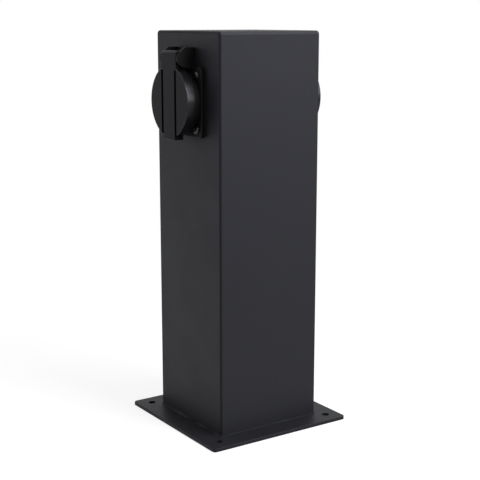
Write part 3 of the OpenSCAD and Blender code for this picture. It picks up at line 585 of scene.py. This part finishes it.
def striped_skin():
    """Green insulation with a yellow stripe on each side."""
    green, yellow = (0.035, 0.16, 0.03, 1), (0.62, 0.50, 0.03, 1)
    material, tree, shader = start_finish("green_yellow_wire_skin")
    grain = use_group(tree, PEBBLED, Pebble_Scale=SKIN_PEBBLE, Mottle_Scale=SKIN_MOTTLE)
    split = tree.nodes.new("ShaderNodeSeparateXYZ")
    tree.links.new(tree.nodes.new("ShaderNodeTexCoord").outputs["Normal"], split.inputs[0])
    side = arithmetic(tree, "ABSOLUTE", split.outputs["Y"])
    stripe = ranged(tree, side, 0.0, 1.0, from_low=0.68, from_high=0.72)
    toned = use_group(tree, UNEVEN, Colour=blended(tree, stripe, green, yellow), Mask=grain["Mottle"],
                      Spread=SKIN_SPREAD)
    tree.links.new(toned["Colour"], shader.inputs["Base Color"])
    tree.links.new(ranged(tree, grain["Mottle"], *SKIN_ROUGH), shader.inputs["Roughness"])
    add_bump(tree, shader, grain["Pebbles"], *SKIN_BUMP)
    return material


POWDER_COAT = coated_finish("black_powder_coat", (0.010, 0.010, 0.0128), pebble=1900.0, mottle=35.0,
                            spread=0.06, rough=(0.50, 0.58), specular=0.22, bump=(0.16, 0.00005),
                            gloss=COOL_GLOSS)
# A copy of the powder coat that reflects less, as painted shade on the column's outer edges and the plate's
# upright sides
SHADED_EDGE_COAT = coated_finish("painted_shade_edge_coat", (0.010, 0.010, 0.0125), pebble=1900.0, mottle=35.0,
                          spread=0.06, rough=(0.54, 0.62), specular=0.155, bump=(0.16, 0.00005),
                          gloss=COOL_GLOSS)
# A darker, rougher copy of the powder coat for the weld: partly a duller coat over the bead, partly painted shade
# that mutes its highlight
DULL_SHADED_WELD_COAT = coated_finish("dull_and_shaded_weld_coat", (0.007, 0.007, 0.008), pebble=1400.0, mottle=45.0,
                          spread=0.8, rough=(0.36, 1.0), specular=0.12, bump=(0.30, 0.00006),
                          gloss=(0.88, 0.94, 1.0))
# The lid's faces reflect little, partly a matt moulding and partly painted shade that holds them dark
LID_PLASTIC = coated_finish("black_lid_moulding", (0.005, 0.005, 0.0075), pebble=2600.0, mottle=60.0,
                            spread=0.07, rough=(0.32, 0.40), specular=0.07, bump=(0.12, 0.00004),
                            gloss=(0.85, 0.87, 1.0))
# A glossier copy for the lid's rim, partly a smoother moulded rim and partly a painted highlight
LID_RIM_GLOSS_AND_HIGHLIGHT = coated_finish("satin_lid_rim_painted_highlight", (0.005, 0.005, 0.006), pebble=2600.0, mottle=60.0,
                        spread=0.07, rough=(0.24, 0.29), specular=0.26, bump=(0.08, 0.00003),
                        gloss=(0.9, 0.92, 1.0))
HOUSING_PLASTIC = coated_finish("black_housing_moulding", (0.0035, 0.0035, 0.004), pebble=2400.0,
                                mottle=60.0, spread=0.08, rough=(0.46, 0.58), specular=0.12,
                                bump=(0.14, 0.00004))
SEAL_RUBBER = coated_finish("soft_black_rubber", (0.008, 0.008, 0.0085), pebble=1500.0, mottle=120.0,
                            spread=0.15, rough=(0.70, 0.85), specular=0.20, bump=(0.20, 0.00005))
BLOCK_PLASTIC = coated_finish("pale_block_moulding", (0.62, 0.61, 0.57), pebble=1800.0, mottle=80.0,
                              spread=0.04, rough=(0.42, 0.52), specular=0.5, bump=(0.12, 0.00004))
LIVE_SKIN = wire_skin("brown_wire_skin", (0.11, 0.045, 0.02))
NEUTRAL_SKIN = wire_skin("blue_wire_skin", (0.02, 0.09, 0.33))
EARTH_SKIN = striped_skin()
ZINC = metal_finish("bright_zinc_plate", (0.62, 0.63, 0.65), dull=(0.45, 0.46, 0.48),
                    along=(2600.0, 2600.0, 300.0), rough=(0.22, 0.36))
BLACK_ZINC = metal_finish("black_zinc_plate", (0.045, 0.045, 0.048), dull=(0.025, 0.025, 0.028),
                          along=(2600.0, 2600.0, 300.0), rough=(0.20, 0.34))
BRASS = metal_finish("plain_brass", (0.72, 0.52, 0.22), dull=(0.46, 0.32, 0.13),
                     along=(300.0, 2800.0, 2800.0), rough=(0.24, 0.40))
COPPER = metal_finish("bare_copper", (0.72, 0.36, 0.20), dull=(0.45, 0.22, 0.12),
                      along=(2600.0, 2600.0, 200.0), rough=(0.25, 0.38))
FINISH_OF_SLOT = {"seal_rubber": SEAL_RUBBER, "black_plastic": HOUSING_PLASTIC, "zinc_steel": ZINC,
                  "black_zinc": BLACK_ZINC, "brass": BRASS, "block_plastic": BLOCK_PLASTIC,
                  "powder_coat": POWDER_COAT, "wire_live": LIVE_SKIN, "wire_neutral": NEUTRAL_SKIN,
                  "wire_earth": EARTH_SKIN}


def dress_kept_nodes():
    """Gives the pieces that keep their own mesh a finish."""
    for row in frame["record"]["subparts"]:
        mesh = frame["nodes"][row["node"]].data
        mesh.materials.clear()
        mesh.materials.append(FINISH_OF_SLOT[row["material_slot"]])


# Steel post

def wrap_shape():
    """One strip of sheet: up the left wall, over the top and down the right wall."""
    shape = bmesh.new()
    ends = [shape.verts.new((-HALF, y, PLATE_THICK)) for y in (-HALF, HALF)]
    bend_x, bend_z = HALF - BEND_R, POST_TOP - BEND_R
    wall = bend_z - PLATE_THICK
    edge = draw_on(shape, [shape.edges.new(ends)], (0, 0, wall))
    edge = bend_on(shape, edge, (-bend_x, 0, bend_z), (0, 1, 0), 90, BEND_STEPS)
    edge = draw_on(shape, edge, (2 * bend_x, 0, 0))
    edge = bend_on(shape, edge, (bend_x, 0, bend_z), (0, 1, 0), 90, BEND_STEPS)
    draw_on(shape, edge, (0, 0, -wall))
    bmesh.ops.recalc_face_normals(shape, faces=shape.faces[:])
    if shape.faces[0].normal.x > 0:
        bmesh.ops.reverse_faces(shape, faces=shape.faces[:])
    bmesh.ops.solidify(shape, geom=shape.faces[:], thickness=SHEET)
    return shape


def on_outside(point):
    """True on the outer side of the wrap's walls, bends and top."""
    over_x = max(0.0, abs(point.x) - HALF + BEND_R)
    over_z = max(0.0, point.z - POST_TOP + BEND_R)
    return math.hypot(over_x, over_z) > BEND_R - SHEET / 2


def on_outer_rim(edge):
    """True on the wrap's outer front and rear edges."""
    a, b = (v.co for v in edge.verts)
    return abs(a.y + b.y) > 2 * (HALF - NEAR) and on_outside(a) and on_outside(b)


def make_wrap():
    wrap = soften(wrap_shape(), EDGE_R, EDGE_STEPS, where=on_outer_rim)
    # Faces along the outer front and rear edges get the copy that reflects less, as painted shade along those
    # edges
    for face in wrap.faces:
        face.material_index = int(abs(face.calc_center_median().y) > HALF - EDGE_R)
    add_piece(wrap, "column_wrap_sheet", STANDING, [POWDER_COAT, SHADED_EDGE_COAT], "post",
              "column_wrap")


def make_panels():
    foot, head = PLATE_THICK - SOCKET_Z, POST_TOP - SHEET - SOCKET_Z
    panel = corner_face([(-PANEL_HALF, foot), (PANEL_HALF, foot), (PANEL_HALF, head), (-PANEL_HALF, head)],
                        [(BEND_R - SHEET + PANEL_EASE, (2, 3))])
    panel = thicken(cut_holes(panel, [(0, 0, PANEL_HOLE_R)], segments=64), SHEET)
    soften(panel, SEAM, segments=3, where=outline_at(SHEET, PANEL_HOLE_R), clamp=False)
    add_to_sockets(moved(panel, z=-SHEET), "face_panel", "panel", [POWDER_COAT])


def on_plate_rim(point):
    return max(abs(point.x), abs(point.y)) > PLATE_HALF - PLATE_CORNER_R


def on_plate_top_rim(edge):
    return all(v.co.z > PLATE_THICK - NEAR and on_plate_rim(v.co) for v in edge.verts)


def round_plate_hole(edge):
    return not all(on_plate_rim(v.co) for v in edge.verts)


def make_base_plate():
    places = (-BOLT_PLACE, BOLT_PLACE)
    holes = [(x, y, BOLT_HOLE_R) for x in places for y in places] + [(0, 0, INLET_R)]
    plate = thicken(cut_holes(square_face(PLATE_HALF, PLATE_CORNER_R), holes), PLATE_THICK)
    soften(plate, PLATE_ROUND, segments=3, where=on_plate_top_rim, clamp=False)
    soften(plate, HOLE_EASE, where=round_plate_hole)
    plate.normal_update()
    # The plate's upright outer sides get the copy that reflects less, as painted shade
    for face in plate.faces:
        upright = abs(face.normal.z) < 0.3
        face.material_index = int(upright and on_plate_rim(face.calc_center_median()))
    add_piece(plate, "ground_plate", STANDING, [POWDER_COAT, SHADED_EDGE_COAT], "post",
              "base_plate")


def ripple(bead):
    """Lets the face of the weld swell a little along its run."""
    swell, waves, drift, slow_waves = 0.028, 2.1, 0.6, 0.37
    for vert in bead.verts:
        if NEAR < vert.co.z - PLATE_THICK < WELD_LEG - NEAR:
            along = vert.co.x if abs(vert.co.x) < abs(vert.co.y) else vert.co.y
            height = swell * math.sin(along * waves + drift * math.sin(along * slow_waves))
            outward = Vector((vert.co.x, vert.co.y, 0)).normalized()
            vert.co += height * (outward + Vector((0, 0, 1)))


def make_foot_weld():
    """A fillet bead with soft ripples, laid round the column's foot."""
    far, near, cuts = 0.66 * WELD_LEG, 0.3 * WELD_LEG, 110
    section = ((WELD_LEG, 0.0), (far, near), (near, far), (WELD_GAP, WELD_LEG), (WELD_GAP, 0.0))
    bead = bmesh.new()
    loops = []
    for out, up in section:
        ring = outline_only(square_face(HALF + out, EDGE_R + out))
        sides = [e for e in ring.edges if e.calc_length() > HALF]
        bmesh.ops.subdivide_edges(ring, edges=sides, cuts=cuts)
        before = len(bead.edges)
        take_in(bead, moved(ring, z=PLATE_THICK + up))
        bead.edges.ensure_lookup_table()
        loops.append(bead.edges[before:])
    for a, b in zip(loops, loops[1:] + loops[:1]):
        bmesh.ops.bridge_loops(bead, edges=a + b)
    ripple(bead)
    bmesh.ops.recalc_face_normals(bead, faces=bead.faces[:])
    add_piece(bead, "foot_weld_bead", STANDING, [DULL_SHADED_WELD_COAT], "post", "foot_weld", sharp=60)


# Sockets

def flange_shape():
    flange = cut_holes(square_face(FLANGE_HALF, FLANGE_CORNER_R), [(0, 0, FLANGE_HOLE_R)], ROUND_STEPS)
    flange = moved(thicken(flange, FLANGE_THICK), z=FLANGE_BACK)
    return soften(flange, FLANGE_ROUND, segments=3, where=outline_at(FLANGE_FRONT, FLANGE_HOLE_R),
                  clamp=False)


def collar_shape():
    """The collar that the lid closes over, with a groove round its front."""
    groove_in, groove_out = WELL_R + WELL_WALL, COLLAR_R - COLLAR_WALL
    rim_round, groove_round = 0.6, 0.25
    return lathe([(WELL_R, SLOT_FRONT), (WELL_R, COLLAR_FRONT), (groove_in, COLLAR_FRONT),
                  (groove_in, GROOVE_FLOOR), (groove_out, GROOVE_FLOOR), (groove_out, COLLAR_FRONT),
                  (COLLAR_R, COLLAR_FRONT), (COLLAR_R, COLLAR_FOOT), (SLOT_R, COLLAR_FOOT),
                  (SLOT_R, SLOT_FRONT)],
                 [(rim_round, (1, 6)), (groove_round, (2, 5))])


def cup_shape():
    """The outer wall of the well, behind the flange."""
    front = COLLAR_FOOT + OVERLAP
    back_round = 0.4
    return lathe([(SLOT_R, FLOOR_BACK), (CUP_R, FLOOR_BACK), (CUP_R, front), (SLOT_R, front)],
                 [(back_round, (1,))])


def on_pin_hole(edge):
    return all(v.co.z > WELL_FLOOR - NEAR and v.co.to_2d().length < WELL_R - 3 for v in edge.verts)


def floor_shape():
    """The floor of the well, with its two pin holes."""
    floor = bmesh.new()
    bmesh.ops.create_circle(floor, cap_ends=True, radius=SLOT_R + OVERLAP, segments=ROUND_STEPS)
    cut_holes(floor, [(-PIN_HOLE_X, 0, PIN_HOLE_R), (PIN_HOLE_X, 0, PIN_HOLE_R)], segments=40)
    back = FLOOR_BACK + OVERLAP
    hole_round = 0.35
    return soften(moved(thicken(floor, WELL_FLOOR - back), z=back), hole_round, where=on_pin_hole)


def liner_shapes():
    """The lower well wall, in two arcs that leave slots for the earth clip."""
    gap = math.degrees(math.asin(SLOT_HALF / WELL_R))
    arcs = []
    for start in (gap - 90, gap + 90):
        wall = corner_face([(WELL_R, WELL_FLOOR), (SLOT_R, WELL_FLOOR), (SLOT_R, SLOT_FRONT),
                            (WELL_R, SLOT_FRONT)])
        arcs.append(close_ends(swept(wall, start, 180 - 2 * gap, steps=44)))
    return arcs


def rib_shapes():
    """A guide rib on each side of the well, rooted in its wall and floor."""
    wall_root, floor_root = 0.45, 0.2
    inner, outer = WELL_R - RIB_HEIGHT, WELL_R + wall_root
    back, front = WELL_FLOOR - floor_root, COLLAR_FRONT - RIB_SETBACK
    return [block((inner, -RIB_HALF, back), (outer, RIB_HALF, front), RIB_ROUND, segments=3),
            block((-outer, -RIB_HALF, back), (-inner, RIB_HALF, front), RIB_ROUND, segments=3)]


def hinge_shapes():
    """Two cheeks that hold the hinge pin, and the web between them."""
    web_round, brow_round, top_round, edge_round = 0.3, 2.6, 1.0, 0.4
    shapes = [block((-WEB_HALF, CHEEK_FOOT, FLANGE_BACK), (WEB_HALF, WEB_TOP, WEB_FRONT), web_round)]
    for left in (CHEEK_IN, -CHEEK_OUT):
        cheek = corner_face([(FLANGE_BACK, CHEEK_FOOT), (FLANGE_FRONT, CHEEK_FOOT),
                             (PIVOT_OUT, PIVOT_UP - CHEEK_R), (LID_FRONT, PIVOT_UP - CHEEK_R),
                             (LID_FRONT, CHEEK_BROW), (PIVOT_OUT, CHEEK_TOP), (FLANGE_BACK, CHEEK_TOP)],
                            [(CHEEK_R - NEAR, (3,)), (brow_round, (4,)), (top_round, (5,))], segments=14)
        shapes.append(across(soften(thicken(cheek, CHEEK_THICK), edge_round, segments=3), left))
    return shapes


def make_housings():
    housing = joined(flange_shape(), collar_shape(), cup_shape(), floor_shape(), *liner_shapes(),
                     *rib_shapes(), *hinge_shapes())
    add_to_sockets(housing, "housing_moulding", "housing", [HOUSING_PLASTIC])


def cross_outline(arm, slot):
    corners = []
    for x, y in ((1, -1), (1, 1), (-1, 1), (-1, -1)):
        quarter = [(slot * x, arm * y), (slot * x, slot * y), (arm * x, slot * y)]
        corners += quarter if x * y < 0 else quarter[::-1]
    return outline_only(corner_face(corners))


def pan_head_screw():
    """A pan-headed screw that points along -Z, with a cross in its domed head."""
    cross_depth, cross_taper = 1.0, 0.8
    dome_r, crown_r, side_height, under_round = 6.025, 2.2, 0.85, 0.1
    tip_r, tip_length = 0.7, 0.8

    def dome(radius):
        return HEAD_HEIGHT - dome_r + math.sqrt(dome_r ** 2 - radius ** 2)

    head = cross_outline(arm=1.8, slot=0.45)
    recess = head.edges[:]
    rim = bmesh.ops.create_circle(head, cap_ends=False, radius=crown_r, segments=48)["verts"]
    fill_flat(head)
    ring = [e for e in head.edges if all(v in rim for v in e.verts) and e.is_boundary]
    for vert in head.verts:
        vert.co.z = dome(vert.co.to_2d().length)
    outline = [(radius, dome(radius)) for radius in (HEAD_R - 0.45, HEAD_R - 0.15)]
    outline += [(HEAD_R - 0.03, side_height + 0.15), (HEAD_R, side_height), (HEAD_R, under_round),
                (HEAD_R - under_round, 0.0), (SCREW_R, 0.0), (SCREW_R, tip_length - SCREW_LENGTH),
                (tip_r, -SCREW_LENGTH)]
    for radius, height in outline:
        ring = draw_on(head, ring, (0, 0, 0))
        for vert in ring_verts(ring):
            vert.co = (*(vert.co.to_2d().normalized() * radius), height)
    floor = draw_on(head, [e for e in recess if e.is_valid], (0, 0, 0))
    for vert in ring_verts(floor):
        vert.co = (cross_taper * vert.co.x, cross_taper * vert.co.y, HEAD_HEIGHT - cross_depth)
    return close_ends(head)


def make_flange_screws():
    """Four screws in each flange, each stopped at its own angle."""
    screws = []
    for right in (-1, 1):
        for up in (-1, 1):
            degrees = 17 * right + 31 * up
            place = Matrix.Translation((right * SCREW_PLACE, up * SCREW_PLACE, FLANGE_FRONT))
            screws.append(turned(pan_head_screw(), place @ Matrix.Rotation(math.radians(degrees), 4, "Z")))
    add_to_sockets(joined(*screws), "flange_screw_set", "flange_screws", [BLACK_ZINC])


# Lids

def paint_rim_gloss_and_highlight(shape, width):
    """Gives the faces near the lid's edge its second, glossier finish, partly a smoother rim and partly a painted
    highlight.
    """
    for face in shape.faces:
        face.material_index = int(face.calc_center_median().to_2d().length > LID_R - width)


def lid_pad(side):
    """The raised face of the lid beside its bar."""
    top = GROOVE_DEPTH + OVERLAP
    rim_round, groove_round, rim_width = 0.5, 0.25, 0.45

    def on_arc(edge):
        a, b = (v.co for v in edge.verts)
        raised = min(a.z, b.z) > top - NEAR and abs(a.x - b.x) > 0.0001
        return raised and min(a.to_2d().length, b.to_2d().length) > LID_R - 0.1

    def on_groove(edge):
        a, b = (v.co for v in edge.verts)
        beside = all(abs(p.x - side * ARM_HALF) < 0.001 for p in (a, b))
        return beside and min(a.z, b.z) > top / 2 and abs(a.y - b.y) > LID_R / 2

    pad = bmesh.new()
    bmesh.ops.create_circle(pad, cap_ends=True, radius=LID_R, segments=ROUND_STEPS)
    cut(pad, (side * ARM_HALF, 0, 0), (side, 0, 0), clear=True)
    thicken(pad, top)
    soften(pad, rim_round, segments=4, where=on_arc)
    soften(pad, groove_round, where=on_groove)
    bmesh.ops.remove_doubles(pad, verts=pad.verts[:], dist=MERGE_DISTANCE)
    paint_rim_gloss_and_highlight(pad, rim_width)
    return moved(pad, z=LID_FRONT - top)


def bar_profile():
    """The bar seen from the side, with the finger tab at its foot."""
    return corner_face([(BAR_BACK, -LID_INNER_R), (TAB_BACK, -LID_INNER_R), (TAB_BACK, TAB_BOTTOM),
                        (LID_FRONT, TAB_BOTTOM), (LID_FRONT, GROOVE_TOP), (BAR_BACK, GROOVE_TOP)],
                       [(BAR_ROUND, (2, 3))], segments=10)


def arm_profile():
    """The hinge arm seen from the side, with the knuckle at its back."""
    knuckle_back, knuckle_foot = PIVOT_OUT - KNUCKLE_R, PIVOT_UP - KNUCKLE_R
    return corner_face([(BAR_BACK, GROOVE_TOP), (LID_FRONT, GROOVE_TOP), (LID_FRONT, ARM_TOP - ARM_BEVEL),
                        (LID_FRONT - ARM_BEVEL, ARM_TOP), (knuckle_back, ARM_TOP),
                        (knuckle_back, knuckle_foot), (ARM_BACK, knuckle_foot), (ARM_BACK, LID_INNER_R),
                        (BAR_BACK, LID_INNER_R)],
                       [(KNUCKLE_R - NEAR, (4, 5)), (BAR_ROUND, (2, 3))], segments=14)


def at_joint(point):
    """True at the hidden corner where the bar and the hinge arm meet."""
    return math.hypot(point.x - BAR_BACK, point.y - GROOVE_TOP) < NEAR


def on_bar_side(edge, level):
    """True on the outline of one side of the bar or arm, away from their joint."""
    return all(abs(v.co.z - level) < NEAR and not at_joint(v.co) for v in edge.verts)


def bar_shape():
    width = 2 * BAR_HALF
    bar = soften(thicken(bar_profile(), width), BAR_EASE, segments=3,
                 where=lambda e: on_bar_side(e, 0) or on_bar_side(e, width))
    return across(bar, -BAR_HALF)


def arm_shapes():
    """The hinge arm in three widths, with a slot for the spring in the middle one."""
    width = ARM_HALF - SPRING_SLOT_HALF
    arms = []
    for left, outer_side in ((SPRING_SLOT_HALF, width), (-ARM_HALF, 0.0)):
        arm = soften(thicken(arm_profile(), width), BAR_EASE, segments=3,
                     where=lambda e: on_bar_side(e, outer_side))
        arms.append(across(arm, left))
    middle = arm_profile()
    slot_front = PIVOT_OUT + SPRING_ROOM
    for height in (PIVOT_UP + SPRING_ROOM, PIVOT_UP - SPRING_ROOM):
        cut(middle, (0, height, 0), (0, 1, 0))
    cut(middle, (slot_front, 0, 0), (1, 0, 0))
    slot = [f for f in middle.faces if f.calc_center_median().x < slot_front
            and abs(f.calc_center_median().y - PIVOT_UP) < SPRING_ROOM]
    bmesh.ops.delete(middle, geom=slot, context="FACES")
    half = SPRING_SLOT_HALF + OVERLAP
    arms.append(across(thicken(middle, 2 * half), -half))
    return arms


def make_lids():
    floor = LID_FRONT - GROOVE_DEPTH
    rim_round, rim_width = 0.35, 0.2
    shell = lathe([(LID_INNER_R, RIM_BACK), (LID_R, RIM_BACK), (LID_R, floor), (0, floor), (0, LID_BACK),
                   (LID_INNER_R, LID_BACK)],
                  [(rim_round, (0, 1))])
    paint_rim_gloss_and_highlight(shell, rim_width)
    lid = joined(shell, lid_pad(1), lid_pad(-1), bar_shape(), *arm_shapes())
    add_to_sockets(lid, "spring_lid", "lid", [LID_PLASTIC, LID_RIM_GLOSS_AND_HIGHLIGHT], on_lid=True)


def make_lid_seals():
    """A ring whose back edges slope away from the collar."""
    inner_slope, outer_slope, edge_round = (0.45, 0.15), (0.5, 0.25), 0.15
    seal = lathe([(SEAL_INNER_R, SEAL_LIP + inner_slope[1]), (SEAL_INNER_R + inner_slope[0], SEAL_LIP),
                  (SEAL_R - outer_slope[0], SEAL_LIP), (SEAL_R, SEAL_LIP + outer_slope[1]),
                  (SEAL_R, LID_BACK), (SEAL_INNER_R, LID_BACK)],
                 [(edge_round, (0, 1, 2, 3))])
    add_to_sockets(seal, "lid_seal_ring", "lid_seal", [SEAL_RUBBER], on_lid=True)


def make_hinge_pins():
    end_round = 0.25
    pin = lathe([(0, -PIN_END), (PIN_R, -PIN_END), (PIN_R, PIN_END), (0, PIN_END)],
                [(end_round, (1, 2))], steps=40)
    turned(pin, Matrix.Translation((0, PIVOT_UP, PIVOT_OUT)) @ Matrix.Rotation(math.radians(90), 4, "Y"))
    add_to_sockets(pin, "hinge_pin_steel", "hinge_pin", [ZINC])


def make_lid_springs():
    """One wire that starts on the web, winds round the pin and ends in the hinge arm."""
    spring, ring = tube_start(SPRING_WIRE_R, (-SPRING_HALF, PIVOT_UP + SPRING_R, SPRING_BACK), sides=10)
    ring = draw_on(spring, ring, (0, 0, PIVOT_OUT - SPRING_BACK))
    ring = bend_on(spring, ring, (0, PIVOT_UP, PIVOT_OUT), (1, 0, 0), 360 * SPRING_TURNS, SPRING_STEPS,
                   drift=(2 * SPRING_HALF / SPRING_STEPS, 0, 0))
    draw_on(spring, ring, (0, SPRING_FOOT - PIVOT_UP, 0))
    add_to_sockets(close_ends(spring), "lid_spring_coil", "lid_spring", [ZINC], on_lid=True)


# Wiring inside the column

def bare_wire(x, y, low, high):
    shape, ring = tube_start(CONDUCTOR_R, (x, y, high), sides=12)
    draw_on(shape, ring, (0, 0, low - high))
    close_ends(shape)
    for face in shape.faces:
        face.material_index = 1
    return shape


def socket_wire(node, way):
    """A wire from a socket's terminal down to the block, in two equal bends."""
    x = (lowest(node, X) + highest(node, X)) / 2
    y = lowest(node, Y) + WIRE_R if way > 0 else highest(node, Y) - WIRE_R
    drop = abs(PORT_Y - y) * math.sin(math.radians(WIRE_BEND))
    start = (WIRE_EXIT + BLOCK_TOP) / 2 + drop
    shape, ring = tube_start(WIRE_R, (x, y, SKIN_TOP))
    ring = draw_on(shape, ring, (0, 0, start - SKIN_TOP))
    ring = bend_on(shape, ring, (x, PORT_Y, start), (1, 0, 0), WIRE_BEND * way, steps=14)
    ring = bend_on(shape, ring, (x, y, start - 2 * drop), (1, 0, 0), -WIRE_BEND * way, steps=14)
    draw_on(shape, ring, (0, 0, SKIN_END - start + 2 * drop))
    return joined(close_ends(shape), bare_wire(x, y, SKIN_TOP - BARE_IN_SKIN, highest(node, Z)),
                  bare_wire(x, PORT_Y, lowest(node, Z), SKIN_END + BARE_IN_SKIN))


def bond_wire(node):
    """A wire from the block down and round to the lug on the earth stud."""
    start_x, lug_x = lowest(node, X) + WIRE_R, highest(node, X) - WIRE_R
    skin_top = INSERT_BOTTOM - WIRE_GAP
    bend_r = (lug_x - start_x) / 2
    bend_z = lowest(node, Z) + WIRE_R + bend_r
    lug_end = lowest("earth_lug", Z) + SKIN_IN_LUG
    shape, ring = tube_start(WIRE_R, (start_x, PORT_Y, skin_top))
    ring = draw_on(shape, ring, (0, 0, bend_z - skin_top))
    ring = bend_on(shape, ring, (start_x + bend_r, PORT_Y, bend_z), (0, 1, 0), -180, steps=28)
    draw_on(shape, ring, (0, 0, lug_end - bend_z))
    return joined(close_ends(shape),
                  bare_wire(start_x, PORT_Y, INSERT_BOTTOM - BARE_IN_SKIN, highest(node, Z)))


def make_wires():
    skins = {"live": LIVE_SKIN, "earth": EARTH_SKIN, "neutral": NEUTRAL_SKIN}
    for side, way in (("front", 1), ("rear", -1)):
        for pole, skin in skins.items():
            node = side + "_" + pole + "_wire"
            add_piece(socket_wire(node, way), node + "_run", STANDING, [skin, COPPER], "post",
                      node, sharp=50)
    add_piece(bond_wire("earth_bond_wire"), "earth_bond_wire_run", STANDING, [EARTH_SKIN, COPPER], "post",
              "earth_bond_wire", sharp=50)


# Stage, in metres

FLOOR_SIZE, FLOOR_DROP = 6.0, 0.0002
FLOOR_GREY, FLOOR_GLOW = (0.30, 0.30, 0.30, 1), 0.78
WHITE_FROM, WHITE_AT = 0.18, 0.45
PLATE_EDGE, PLATE_SHADE = PLATE_HALF / 1000, 0.0015
SKY_LIGHT = 0.45
LENS, SENSOR = 80.537, 36.0
EYE, LOOK_DOWN, LOOK_TURN = (0.66472, -0.44545, 0.30168), 11.602, 56.026
# Name, place, what it points at, width and height, and watts
SOFTBOXES = (
    ("right_softbox", (1.0, 0.57, 0.76), (0, 0, 0.18), (0.9, 0.9), 14.0),
    ("lid_softbox", (0.67, 0.20, 0.92), (0.025, -0.055, 0.25), (0.3, 0.3), 4.2),
    ("front_softbox", (-0.45, -0.85, 0.75), (0, 0, 0.2), (0.7, 0.7), 1.2),
    ("top_softbox", (0.05, 0.30, 0.68), (0.04, 0, 0.29), (0.3, 0.3), 0.65),
)


def seen_directly(tree):
    """1 where the camera, a reflection or glass looks, and 0 for other light."""
    path = tree.nodes.new("ShaderNodeLightPath").outputs
    shown = arithmetic(tree, "MAXIMUM", path["Is Camera Ray"], path["Is Glossy Ray"])
    return arithmetic(tree, "MAXIMUM", shown, path["Is Transmission Ray"])


def from_middle(tree, place):
    """How far a point of the floor is from the middle, in squares like the plate's."""
    split = tree.nodes.new("ShaderNodeSeparateXYZ")
    tree.links.new(place, split.inputs[0])
    sides = [arithmetic(tree, "ABSOLUTE", split.outputs[axis]) for axis in "XY"]
    return arithmetic(tree, "MAXIMUM", *sides)


def mixed(tree, factor, a, b):
    node = tree.nodes.new("ShaderNodeMixShader")
    for socket, given in zip(node.inputs, (factor, a, b)):
        tree.links.new(given, socket)
    return node.outputs[0]


def floor_finish():
    """A pale floor, darker under the plate, that keeps a shadow and turns white further out."""
    material, tree = bare_material("pale_floor")
    place = object_place(tree)
    plain = tree.nodes.new("ShaderNodeBsdfDiffuse")
    plain.inputs["Color"].default_value = FLOOR_GREY
    glow = tree.nodes.new("ShaderNodeEmission")
    level = ranged(tree, from_middle(tree, place), 0.0, FLOOR_GLOW, PLATE_EDGE - PLATE_SHADE, PLATE_EDGE)
    tree.links.new(level, glow.inputs["Strength"])
    both = tree.nodes.new("ShaderNodeAddShader")
    tree.links.new(plain.outputs[0], both.inputs[0])
    tree.links.new(glow.outputs[0], both.inputs[1])
    far = tree.nodes.new("ShaderNodeVectorMath")
    far.operation = "LENGTH"
    tree.links.new(place, far.inputs[0])
    white = tree.nodes.new("ShaderNodeEmission")
    fade = ranged(tree, far.outputs["Value"], 0.0, 1.0, WHITE_FROM, WHITE_AT)
    shown = mixed(tree, fade, both.outputs[0], white.outputs[0])
    surface = mixed(tree, seen_directly(tree), plain.outputs[0], shown)
    tree.links.new(surface, tree.nodes.new("ShaderNodeOutputMaterial").inputs["Surface"])
    return material


def make_floor():
    shape = bmesh.new()
    bmesh.ops.create_grid(shape, x_segments=1, y_segments=1, size=FLOOR_SIZE)
    moved(shape, z=-FLOOR_DROP)
    mesh = bpy.data.meshes.new("studio_floor")
    shape.to_mesh(mesh)
    shape.free()
    mesh.materials.append(floor_finish())
    floor = bpy.data.objects.new("studio_floor", mesh)
    scene.collection.objects.link(floor)


def make_world():
    """An even grey light that looks white."""
    world = bpy.data.worlds.new("studio_world")
    scene.world = world
    world.use_nodes = True
    tree = world.node_tree
    tree.nodes.clear()
    sky = tree.nodes.new("ShaderNodeBackground")
    sky.inputs["Color"].default_value = (1, 1, 1, 1)
    tree.links.new(ranged(tree, seen_directly(tree), SKY_LIGHT, 1.0), sky.inputs["Strength"])
    tree.links.new(sky.outputs[0], tree.nodes.new("ShaderNodeOutputWorld").inputs["Surface"])


def add_softbox(name, place, target, size, power):
    light = bpy.data.lights.new(name, "AREA")
    light.shape = "RECTANGLE"
    light.size, light.size_y = size
    light.energy = power
    lamp = bpy.data.objects.new(name, light)
    lamp.location = place
    lamp.rotation_euler = (Vector(target) - Vector(place)).to_track_quat("-Z", "Y").to_euler()
    scene.collection.objects.link(lamp)


def make_camera():
    camera = bpy.data.cameras.new("photo_camera")
    camera.lens = LENS
    camera.sensor_width = SENSOR
    eye = bpy.data.objects.new("photo_camera", camera)
    eye.location = EYE
    eye.rotation_euler = (math.radians(90 - LOOK_DOWN), 0, math.radians(LOOK_TURN))
    scene.collection.objects.link(eye)
    scene.camera = eye


make_camera()
make_floor()
make_world()
for softbox in SOFTBOXES:
    add_softbox(*softbox)
dress_kept_nodes()
make_wrap()
make_panels()
make_base_plate()
make_foot_weld()
make_housings()
make_flange_screws()
make_lids()
make_lid_seals()
make_hinge_pins()
make_lid_springs()
make_wires()

scene.view_settings.view_transform = "Standard"
